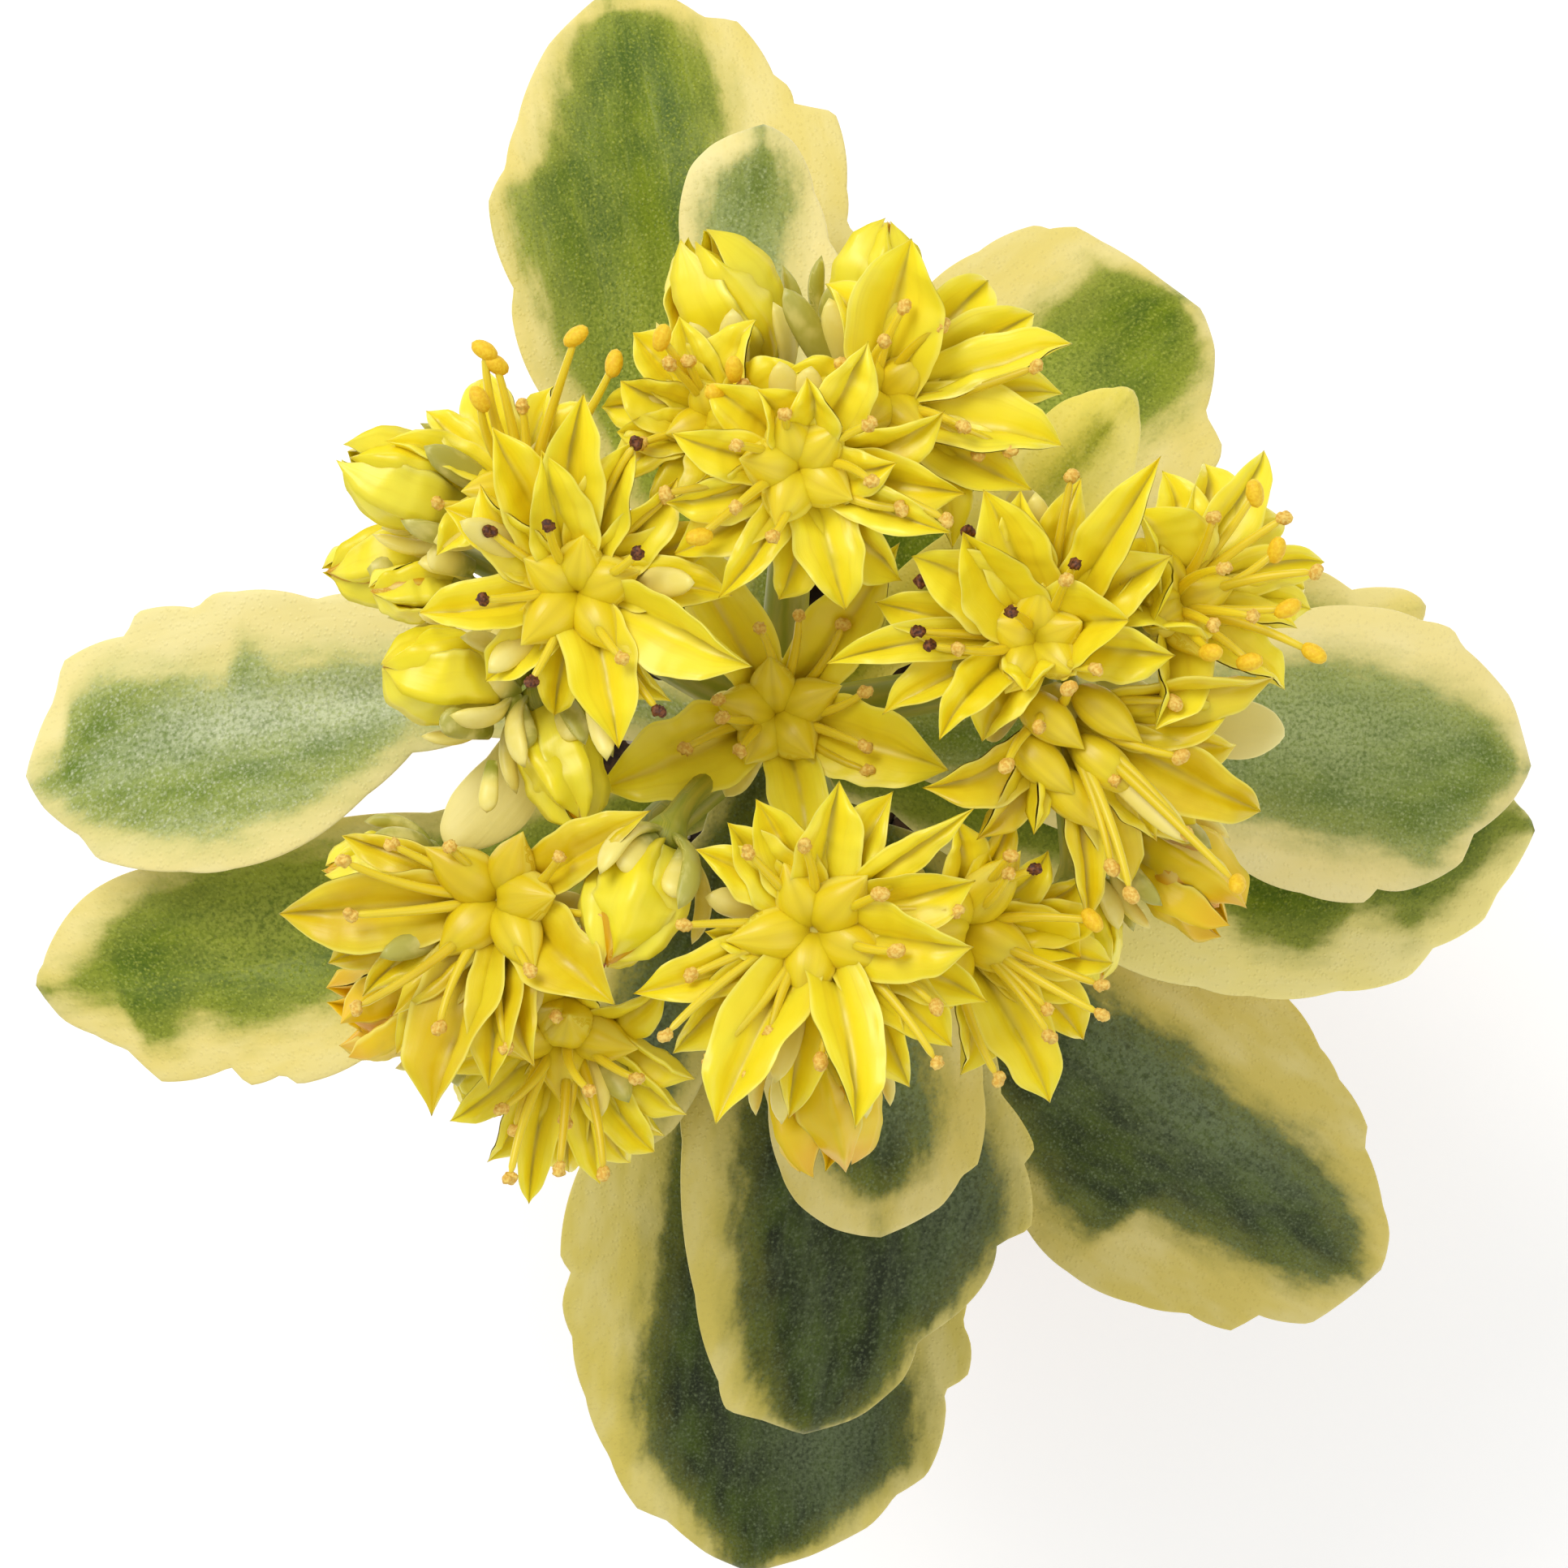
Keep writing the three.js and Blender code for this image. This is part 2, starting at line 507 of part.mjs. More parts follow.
// The axis a flower faces along, and how high one of its petals stands once the flower has leant over
const facing = (flower) => direction(flower.leans[0], 90 - flower.leans[1]);
function leant(flower, heading, rise) {
  const [leansTo, lean] = flower.leans;
  return rise - lean * Math.cos(radians(heading - leansTo));
}

// A keeled petal on an arc that rises and then levels out
function petal(flower, [heading, length]) {
  const rise = leant(flower, heading, PETAL.rise);
  const out = direction(heading, rise);
  const raised = facing(flower);
  const at = vec(flower.at);
  const curve = new THREE.QuadraticBezierCurve3(
    at.clone().addScaledVector(out, PETAL.root).addScaledVector(raised, -PETAL.sunk),
    at.clone().addScaledVector(out, length * 0.5).addScaledVector(raised, length * PETAL.arch),
    at.clone().addScaledVector(out, length),
  );
  return follow(curve, 4, PETAL.shares, (share, x, y) => {
    const width = PETAL.widths[PETAL.shares.indexOf(share)];
    const atEdge = Math.abs(x) > 0.5;
    const atMiddle = y > 0 ? PETAL.groove : -PETAL.keel;
    const high = atEdge ? PETAL.lift : atMiddle;
    return [x * PETAL.halfWidth * width, high * Math.min(1, width * 1.6)];
  }, raised);
}

// A plump carpel with a slim beak
function carpel(flower, heading) {
  const out = direction(heading, leant(flower, heading, CARPEL.rise));
  const at = vec(flower.at);
  const curve = new THREE.QuadraticBezierCurve3(
    at.clone().addScaledVector(out, CARPEL.root),
    at.clone().addScaledVector(out, CARPEL.belly).addScaledVector(facing(flower), CARPEL.bow),
    at.clone().addScaledVector(out, CARPEL.length),
  );
  return rod(curve, 4, CARPEL.shares, CARPEL.widths.map((width) => width * CARPEL.radius), facing(flower));
}

// A filament with its anther
function stamen(flower, heading, rise, length) {
  const out = direction(heading, leant(flower, heading, rise));
  const at = vec(flower.at);
  const curve = new THREE.QuadraticBezierCurve3(
    at.clone().addScaledVector(out, STAMEN.root),
    at.clone().addScaledVector(out, length * 0.5).addScaledVector(facing(flower), length * STAMEN.bow),
    at.clone().addScaledVector(out, length),
  );
  return rod(curve, 3, STAMEN.shares, [STAMEN.radius, STAMEN.radius, STAMEN.anther, 0], facing(flower));
}

function flowerSolids(flower, seed) {
  const draw = drawer(seed);
  const core = new THREE.IcosahedronGeometry(FLOWER.core, 0).translate(...flower.at);
  const turn = 360 / FLOWER.parts;
  const first = flower.petals[0][0];
  const solids = [solidOf(core)];
  for (const one of flower.petals) solids.push(petal(flower, one));
  for (let i = 0; i < FLOWER.parts; i += 1) solids.push(carpel(flower, first + i * turn));
  for (let i = 0; i < FLOWER.parts; i += 1) {
    const heading = first + (i + 0.5) * turn + draw() * STAMEN.sway;
    const rise = STAMEN.rise + draw() * STAMEN.sway;
    solids.push(stamen(flower, heading, rise, STAMEN.length + draw() * STAMEN.uneven));
  }
  return solids;
}

// A closed flower: an oval with five creases that draws in to a point
function budSolid(bud) {
  const [foot, tip] = [vec(bud.foot), vec(bud.tip)];
  return follow(new THREE.LineCurve3(foot, tip), BUD.lobes * 2, BUD.shares, (share, x, y) => {
    const corner = Math.round(Math.atan2(x, y) / (Math.PI / BUD.lobes));
    const depth = corner % 2 === 0 ? 1 : BUD.crease;
    const radius = BUD.widths[BUD.shares.indexOf(share)] * depth * bud.width / 2;
    return [x * radius, y * radius];
  });
}

// A blunt sepal finger with a flat upper side
function sepal(curve, scale, raised) {
  return follow(curve, 3, SEPAL.shares, (share, x, y) => {
    const width = SEPAL.widths[SEPAL.shares.indexOf(share)] * scale;
    return [x * SEPAL.halfWidth * width, -y * SEPAL.halfThick * width];
  }, raised);
}

// The sepal of an open flower stands out from the cup between two petals
function openSepal(top, axis, heading, rise) {
  const out = direction(heading, rise);
  const root = top.clone().addScaledVector(axis, -SEPAL.sunk);
  const curve = new THREE.QuadraticBezierCurve3(
    root.clone().addScaledVector(out, SEPAL.root),
    root.clone().addScaledVector(out, SEPAL.length * 0.5).addScaledVector(axis, -SEPAL.length * SEPAL.droop),
    root.clone().addScaledVector(out, SEPAL.length),
  );
  return sepal(curve, 1, axis);
}

// The sepal of a bud hugs its side, a little clear of it
function budSepal(bud, top, axis, raised) {
  const [foot, tip] = [vec(bud.foot), vec(bud.tip)];
  const spread = bud.width / 2 + BUD.clear + SEPAL.halfThick;
  const length = foot.distanceTo(tip);
  const curve = new THREE.QuadraticBezierCurve3(
    top.clone().addScaledVector(axis, -SEPAL.sunk).addScaledVector(raised, SEPAL.root),
    foot.clone().addScaledVector(raised, spread * 1.1),
    foot.clone().addScaledVector(axis, length * BUD.sepalShare).addScaledVector(raised, spread),
  );
  return sepal(curve, BUD.sepalScale, raised);
}

// A stalk that leaves a branch sideways, turns up to the flower and ends in a green cup along the axis
function stalk(from, top, axis) {
  const reach = from.distanceTo(top);
  const line = new THREE.CubicBezierCurve3(
    from,
    new THREE.Vector3().lerpVectors(from, top, 0.6).setZ(THREE.MathUtils.lerp(from.z, top.z, 0.15)),
    top.clone().addScaledVector(axis, -reach * 0.3),
    top,
  );
  const cup = 1 - STALK.cupLength / reach;
  const [slim, wide] = [STALK.radius, STALK.cup];
  return rod(line, STALK.sides, [0, 0.4, cup - 0.12, cup, 1], [slim, slim, slim, wide, wide * 0.8], ASIDE);
}

function stemSolids() {
  const line = new THREE.LineCurve3(vec(STEM.foot), vec(STEM.soil));
  const upper = new THREE.LineCurve3(vec(STEM.soil).setZ(STEM.soil[2] - 1), vec(STEM.fork));
  const r = STEM.radius;
  const solids = [
    rod(line, STEM.sides, [0, 0.3, 1], [0.8, r, r], ASIDE),
    rod(upper, STEM.sides, [0, 0.35, 0.7, 1], [r * 0.97, r * 0.95, r * 0.92, r * 0.92], ASIDE),
  ];
  const fork = vec(STEM.fork);
  const turn = 360 / FLOWER.parts;
  for (const spray of Object.values(SPRAYS)) {
    const node = vec(spray.node);
    const middle = fork.clone().lerp(node, 0.55).addScaledVector(UP, -BRANCH.sag);
    const start = fork.clone().addScaledVector(UP, -1);
    const branch = new THREE.QuadraticBezierCurve3(start, middle, node);
    const radii = [1.25, 1.1, 1, 0.95].map((width) => width * BRANCH.radius);
    solids.push(rod(branch, BRANCH.sides, [0, 0.33, 0.66, 1], radii, ASIDE));
    for (const flower of spray.flowers) {
      const axis = facing(flower);
      const top = vec(flower.at).addScaledVector(axis, -FLOWER.core - GAP);
      solids.push(stalk(node, top, axis));
      for (let i = 0; i < FLOWER.parts; i += 1) {
        const heading = flower.petals[0][0] + (i + 0.5) * turn;
        solids.push(openSepal(top, axis, heading, leant(flower, heading, SEPAL.rise)));
      }
    }
  }
  for (const bud of Object.values(BUDS)) {
    const axis = vec(bud.tip).sub(vec(bud.foot)).normalize();
    const top = vec(bud.foot).addScaledVector(axis, -GAP);
    const across = axis.clone().cross(UP).normalize();
    solids.push(stalk(vec(SPRAYS[bud.spray].node), top, axis));
    for (let i = 0; i < FLOWER.parts; i += 1) {
      const raised = across.clone().applyAxisAngle(axis, radians((i + 0.25) * turn));
      solids.push(budSepal(bud, top, axis, raised));
    }
  }
  return solids;
}

// A turned solid from a profile of [radius, height] points, listed so that its faces point out
function turned(profile, sides) {
  const points = profile.map(([radius, height]) => new THREE.Vector2(radius, height));
  return new THREE.LatheGeometry(points, sides).rotateX(Math.PI / 2);
}

function potSolid() {
  const p = POT;
  const rimFoot = p.height - p.rimHeight;
  const inner = p.footRadius - p.wall;
  const mouth = p.rimRadius - p.wall - p.lip - p.lipBevel;
  return solidOf(turned([
    [p.drainRadius, 0],
    [p.footRadius - p.footBevel, 0],
    [p.footRadius, p.footBevel],
    [p.neckRadius, rimFoot - p.rimStep],
    [p.rimRadius - p.rimStep, rimFoot],
    [p.rimRadius, p.height - p.rimBevel],
    [p.rimRadius - p.rimBevel, p.height],
    [mouth + p.lipBevel, p.height],
    [mouth, p.height - p.rimBevel],
    [inner, p.floor],
    [p.drainRadius, p.floor],
    [p.drainRadius, 0],
  ], p.sides));
}

// The inner radius of the pot at a height
function potInner(height) {
  const top = [POT.rimRadius - POT.wall - POT.lip - POT.lipBevel, POT.height - POT.rimBevel];
  const foot = [POT.footRadius - POT.wall, POT.floor];
  return THREE.MathUtils.mapLinear(height, foot[1], top[1], foot[0], top[0]);
}

// Soil with an uneven top, and a plain round hole for the stem
function soilSolid() {
  const hole = STEM.radius + GAP;
  const foot = POT.floor + GAP;
  const edge = potInner(SOIL.top - SOIL.edgeDrop) - GAP;
  const surface = [];
  for (let i = 0; i <= SOIL.rings; i += 1) {
    surface.push([THREE.MathUtils.lerp(hole + SOIL.collar, edge, i / SOIL.rings), SOIL.top]);
  }
  surface[SOIL.rings][1] = SOIL.top - SOIL.edgeDrop;
  const geometry = turned([
    [0, foot],
    [potInner(foot) - 2 * GAP, foot],
    ...surface.reverse(),
    [hole, SOIL.top],
    [hole, SOIL.hollow],
    [0, SOIL.hollow],
  ], SOIL.sides);
  const position = geometry.attributes.position;
  for (let i = 0; i < position.count; i += 1) {
    const [x, y, z] = [position.getX(i), position.getY(i), position.getZ(i)];
    const radius = Math.hypot(x, y);
    if (z < SOIL.top - CLOSE || radius < hole + CLOSE) continue;
    const wave = Math.sin(x * 1.3 + 0.7) * Math.cos(y * 1.1 - 0.4) + 0.6 * Math.sin(x * 0.5 - y * 0.9);
    position.setZ(i, z + SOIL.bump * wave);
  }
  return solidOf(geometry);
}

const plant = new THREE.Group();

function add(name, solid, material) {
  const mesh = new THREE.Mesh(geometryOf(solid), material);
  mesh.name = name;
  plant.add(mesh);
}

add('pot', potSolid(), FINISH.clay);
add('soil', soilSolid(), FINISH.soil);
add('stem', fuse(stemSolids()), FINISH.stem);
for (const [name, leaf] of Object.entries(LEAVES)) add(name, leafSolid(leaf), FINISH.leaf);
for (const [name, bract] of Object.entries(BRACTS)) {
  add(name, blade(bract, vec(bract.start), BRACT), FINISH.cream);
}
Object.entries(SPRAYS).forEach(([name, spray], index) => {
  spray.flowers.forEach((flower, i) => {
    add(`flower_${name}_${i + 1}`, fuse(flowerSolids(flower, 100 * (index + 1) + i)), FINISH.petal);
  });
});
for (const [name, bud] of Object.entries(BUDS)) add(name, budSolid(bud), FINISH.bud);

export default plant;
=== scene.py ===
# %% [markdown]
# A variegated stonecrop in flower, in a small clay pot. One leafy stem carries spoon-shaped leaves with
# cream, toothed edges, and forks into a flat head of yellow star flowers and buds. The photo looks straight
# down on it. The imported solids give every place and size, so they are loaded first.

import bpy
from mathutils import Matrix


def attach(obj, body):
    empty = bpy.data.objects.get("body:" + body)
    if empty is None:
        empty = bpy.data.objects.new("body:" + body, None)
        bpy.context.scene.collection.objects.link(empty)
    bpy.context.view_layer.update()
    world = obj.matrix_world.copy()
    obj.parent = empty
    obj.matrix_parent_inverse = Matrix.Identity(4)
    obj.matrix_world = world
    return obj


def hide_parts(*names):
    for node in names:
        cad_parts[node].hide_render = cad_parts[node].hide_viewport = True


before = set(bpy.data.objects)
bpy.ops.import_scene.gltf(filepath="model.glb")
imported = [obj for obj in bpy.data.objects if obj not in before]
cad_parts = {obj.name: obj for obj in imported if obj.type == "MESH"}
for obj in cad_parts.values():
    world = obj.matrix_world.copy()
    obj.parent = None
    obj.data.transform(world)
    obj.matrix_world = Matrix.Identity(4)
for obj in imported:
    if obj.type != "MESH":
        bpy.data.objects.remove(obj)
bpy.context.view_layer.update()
print("solids:", len(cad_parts))

# %% [markdown]
# The camera comes first, because every comparison with the photo hangs on it. The photo is a near view:
# the flowers, which stand higher, are drawn larger than the leaves below them. So the camera is a real
# perspective one, straight above the pot, and not a flat one.

# %% Camera
import math

import bmesh
import bpy
from mathutils import Vector, noise

MM = 0.001
CAMERA_HEIGHT = 322 * MM
SEEN_SHARE = 0.301875
SENSOR = 36

scene = bpy.context.scene
camera = bpy.data.objects.new("camera", bpy.data.cameras.new("camera"))
camera.location = (0, 0, CAMERA_HEIGHT)
camera.data.sensor_width = SENSOR
camera.data.lens = SENSOR / SEEN_SHARE
camera.data.clip_start = 10 * MM
scene.collection.objects.link(camera)
scene.camera = camera
print("lens:", round(camera.data.lens, 1), "mm")

# %% [markdown]
# The light is a plain soft studio light. A white world fills the shadows, and one large lamp at the upper
# left models the petals and gives the leaves their gloss; the broad sheen on the leaves is painted into
# their colour. A floor of white card lies under the pot. The standard view transform keeps the white card
# white and the yellow as strong as it is in the photo.

# %% Light and floor
WORLD_STRENGTH = 0.64
FLOOR_HALF = 1200 * MM
LAMPS = {
    "key": {"place": (-170, 210, 430), "size": 200, "power": 1.0},
    "fill": {"place": (260, -160, 330), "size": 320, "power": 0.25},
}


def lamp(name, place, size, power):
    """A square soft lamp that looks at the flowers."""
    data = bpy.data.lights.new(name, "AREA")
    data.size = size * MM
    data.energy = power
    made = bpy.data.objects.new(name, data)
    made.location = Vector(place) * MM
    aim = Vector((0, 0, 80 * MM)) - made.location
    made.rotation_euler = aim.to_track_quat("-Z", "Y").to_euler()
    scene.collection.objects.link(made)


for name, values in LAMPS.items():
    lamp(name, **values)

world = bpy.data.worlds.new("studio")
world.use_nodes = True
world.node_tree.nodes["Background"].inputs["Color"].default_value = (1, 1, 1, 1)
world.node_tree.nodes["Background"].inputs["Strength"].default_value = WORLD_STRENGTH
scene.world = world
scene.view_settings.view_transform = "Standard"
print("lamps:", len(LAMPS))

# %% [markdown]
# Materials are networks of nodes. A few small helpers keep them short: one makes a node, sets it up and
# plugs its inputs, some do the sums and blends that come back in every finish, one starts a material and
# one gives it its colour and relief. An input may be given a plain value or another node's output.

# %% Node helpers
def plug(tree, socket, value):
    """Gives an input a value, or links it to an output."""
    if isinstance(value, bpy.types.NodeSocket):
        tree.links.new(value, socket)
    else:
        socket.default_value = value


def node(tree, kind, inputs=None, **settings):
    """A node of one kind with its settings and inputs."""
    made = tree.nodes.new("ShaderNode" + kind)
    for name, value in settings.items():
        setattr(made, name, value)
    for name, value in (inputs or {}).items():
        plug(tree, made.inputs[name], value)
    return made


def calc(tree, operation, first, second=0.0):
    """One sum on two numbers."""
    return node(tree, "Math", {0: first, 1: second}, operation=operation).outputs[0]


def between(tree, value, low, high, start=0.0, end=1.0):
    """A soft step: start below low, end above high."""
    inputs = {"Value": value, "From Min": low, "From Max": high, "To Min": start, "To Max": end}
    return node(tree, "MapRange", inputs, interpolation_type="SMOOTHSTEP").outputs["Result"]


def blend(tree, share, first, second):
    """A mix of two colours."""
    made = node(tree, "Mix", data_type="RGBA")
    plug(tree, made.inputs[0], share)
    plug(tree, made.inputs[6], first)
    plug(tree, made.inputs[7], second)
    return made.outputs[2]


def grain(tree, place, scale, detail=2.0):
    """Soft noise between 0 and 1."""
    return node(tree, "TexNoise", {"Vector": place, "Scale": scale, "Detail": detail}).outputs["Fac"]


def stretched(tree, place, factors):
    """A place drawn out by a factor in each direction."""
    return node(tree, "VectorMath", {0: place, 1: factors}, operation="MULTIPLY").outputs[0]


def mesh_mark(tree, name, output="Vector"):
    """What the mesh says at each of its points."""
    return node(tree, "Attribute", attribute_name=name).outputs[output]


def own_place(tree):
    """The place on the piece itself."""
    return node(tree, "TexCoord").outputs["Object"]


def linear(colour):
    """A screen colour of 0 to 255 as light."""
    return tuple((c / 255) ** 2.2 for c in colour) + (1.0,)


def wash(tree, colour, other, value, low, high, most=1.0):
    """A colour with a screen colour laid over it, more and more where a value runs from low to high."""
    return blend(tree, between(tree, value, low, high, 0.0, most), colour, linear(other))


def material(name, **values):
    """A material with its shader's plain values set, and its tree and shader."""
    made = bpy.data.materials.new(name)
    made.use_nodes = True
    shader = made.node_tree.nodes["Principled BSDF"]
    for socket, value in values.items():
        shader.inputs[socket.replace("_", " ")].default_value = value
    return made, made.node_tree, shader


def dress(tree, shader, colour, height, strength, depth):
    """Gives a shader its colour and a fine relief with a depth in millimetres."""
    plug(tree, shader.inputs["Base Color"], colour)
    bump = node(tree, "Bump", {"Height": height, "Strength": strength, "Distance": depth * MM})
    plug(tree, shader.inputs["Normal"], bump.outputs["Normal"])
    return bump


# %% [markdown]
# The floor is one plane in a plain pale finish with a very faint cloudiness. It glows a little, a painted
# light like a light table's, so that the plant's shadow on it stays faint.

# %% Floor
card, tree, shader = material("white_card", Roughness=0.9, Emission_Strength=0.25)
shader.inputs["Emission Color"].default_value = (1, 1, 1, 1)
cloud = grain(tree, own_place(tree), 3.0)
colour = blend(tree, cloud, linear((252, 252, 251)), linear((248, 248, 247)))
plug(tree, shader.inputs["Base Color"], colour)

bm = bmesh.new()
bmesh.ops.create_grid(bm, x_segments=1, y_segments=1, size=FLOOR_HALF)
mesh = bpy.data.meshes.new("floor")
bm.to_mesh(mesh)
bm.free()
mesh.materials.append(card)
floor = bpy.data.objects.new("floor", mesh)
scene.collection.objects.link(floor)
print("floor:", FLOOR_HALF * 2, "m wide")

# %% [markdown]
# Nearly everything on a plant is a slim closed skin that follows a line: a stem, a petal, a leaf, a pod.
# One helper makes them all. It rolls a flat grid up into a tube and puts each point where a function says,
# then the seam and the ends are merged. Lathing would only give round things, and a curve with a bevel
# can't swell, groove or keel. Each point also keeps a mark of where it lies on the piece, which the
# materials read. On a petal or a thread the mark is how far along it the point lies, how far round it, and
# a draw that tints the whole piece; on petals and pods this tone also carries painted light and shade. On a
# leaf it is the distances along and out from the midrib.

# %% Rolled skins
MERGE = 0.0005
STEP = 0.01


def skin_mesh():
    """An empty mesh that can hold each point's mark, its depth in the green and its painted sheen."""
    bm = bmesh.new()
    bm.verts.layers.float_vector.new("mark")
    bm.verts.layers.float.new("green")
    bm.verts.layers.float.new("painted_sheen")
    return bm


def paint(verts, slot):
    """Gives the faces round some points one of the piece's materials."""
    for face in {face for vert in verts for face in vert.link_faces}:
        face.material_index = slot


def rolled(bm, sides, rings, place, slot=0):
    """A grid rolled up into a closed skin. place(share, turn) gives a point and its mark."""
    sheet = bmesh.ops.create_grid(bm, x_segments=sides, y_segments=rings, size=0.5)["verts"]
    mark = bm.verts.layers.float_vector["mark"]
    for vert in sheet:
        share, turn = vert.co.y + 0.5, vert.co.x + 0.5
        vert.co, vert[mark] = place(share, turn)
    paint(sheet, slot)
    return sheet


def curve_at(points, share):
    """The point at a share of a smooth curve with a few control points."""
    while len(points) > 1:
        points = [a.lerp(b, share) for a, b in zip(points, points[1:])]
    return points[0]


def follow(bm, points, up, section, sides, rings, slot=0, draw=0.0):
    """A skin along a curve. section(share, turn) gives how far a point lies to the right and above."""
    frames = {}

    def place(share, turn):
        if share not in frames:
            ahead = (curve_at(points, share + STEP) - curve_at(points, share - STEP)).normalized()
            right = ahead.cross(up).normalized()
            frames[share] = (curve_at(points, share), right, right.cross(ahead))
        centre, right, above = frames[share]
        out, high = section(share, turn)
        return centre + right * out + above * high, (share, turn, draw)

    return rolled(bm, sides, rings, place, slot)


def finish_piece(bm, name, materials):
    """Closes a mesh in millimetres and puts it in the scene as the piece that stands for a node."""
    bmesh.ops.remove_doubles(bm, verts=bm.verts, dist=MERGE)
    bmesh.ops.recalc_face_normals(bm, faces=bm.faces)
    bmesh.ops.scale(bm, vec=(MM, MM, MM), verts=bm.verts)
    for face in bm.faces:
        face.smooth = True
    mesh = bpy.data.meshes.new(name + "_grown")
    bm.to_mesh(mesh)
    bm.free()
    for one in materials:
        mesh.materials.append(one)
    piece = bpy.data.objects.new(name + "_grown", mesh)
    scene.collection.objects.link(piece)
    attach(piece, "root")
    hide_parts(name)


# %% [markdown]
# Small helpers for the way grown things lie: a direction from a heading and a rise, an uneven draw that is
# the same each time, a value read off a short list of [share, value] with smooth stretches between, and
# the roundness of an end. Blender's own curves could do the reading, but a few sums are easier to follow.

# %% Directions and draws
UP = Vector((0, 0, 1))
ASIDE = Vector((1, 0.2, 0)).normalized()


def direction(heading, rise):
    """A direction from a heading round the upright axis and a rise above level, in degrees."""
    flat = math.cos(math.radians(rise))
    turn = math.radians(heading)
    return Vector((flat * math.cos(turn), flat * math.sin(turn), math.sin(math.radians(rise))))


def drawer(seed):
    """Repeatable draws between -1 and 1."""
    state = [seed]

    def draw():
        state[0] = (state[0] * 1664525 + 1013904223) % 4294967296
        return state[0] / 2147483648 - 1

    return draw


def part_of(value, start, end):
    """How far a value lies between a start and an end, held within 0 and 1."""
    return min(1.0, max(0.0, (value - start) / (end - start)))


def read_off(stations, share):
    """A value on a smooth line through stations of [share, value]."""
    last = len(stations) - 1
    i = 0
    while i < last - 1 and share > stations[i + 1][0]:
        i += 1
    (a, low), (b, high) = stations[i], stations[i + 1]
    before, after = stations[max(0, i - 1)], stations[min(last, i + 2)]
    t = part_of(share, a, b)
    slope_in = (high - before[1]) / (b - before[0]) * (b - a)
    slope_out = (after[1] - low) / (after[0] - a) * (b - a)
    curve = (2 * t ** 3 - 3 * t ** 2 + 1) * low + (3 * t ** 2 - 2 * t ** 3) * high
    return max(0.0, curve + (t ** 3 - 2 * t ** 2 + t) * slope_in + (t ** 3 - t ** 2) * slope_out)


def round_end(distance, radius):
    """How full a form is at a distance from its rounded end."""
    if distance >= radius:
        return 1.0
    return math.sqrt(max(0.0, 1 - (1 - distance / radius) ** 2))


def on_circle(turn, radius):
    """A point of a round section."""
    angle = math.tau * turn
    return math.cos(angle) * radius, math.sin(angle) * radius
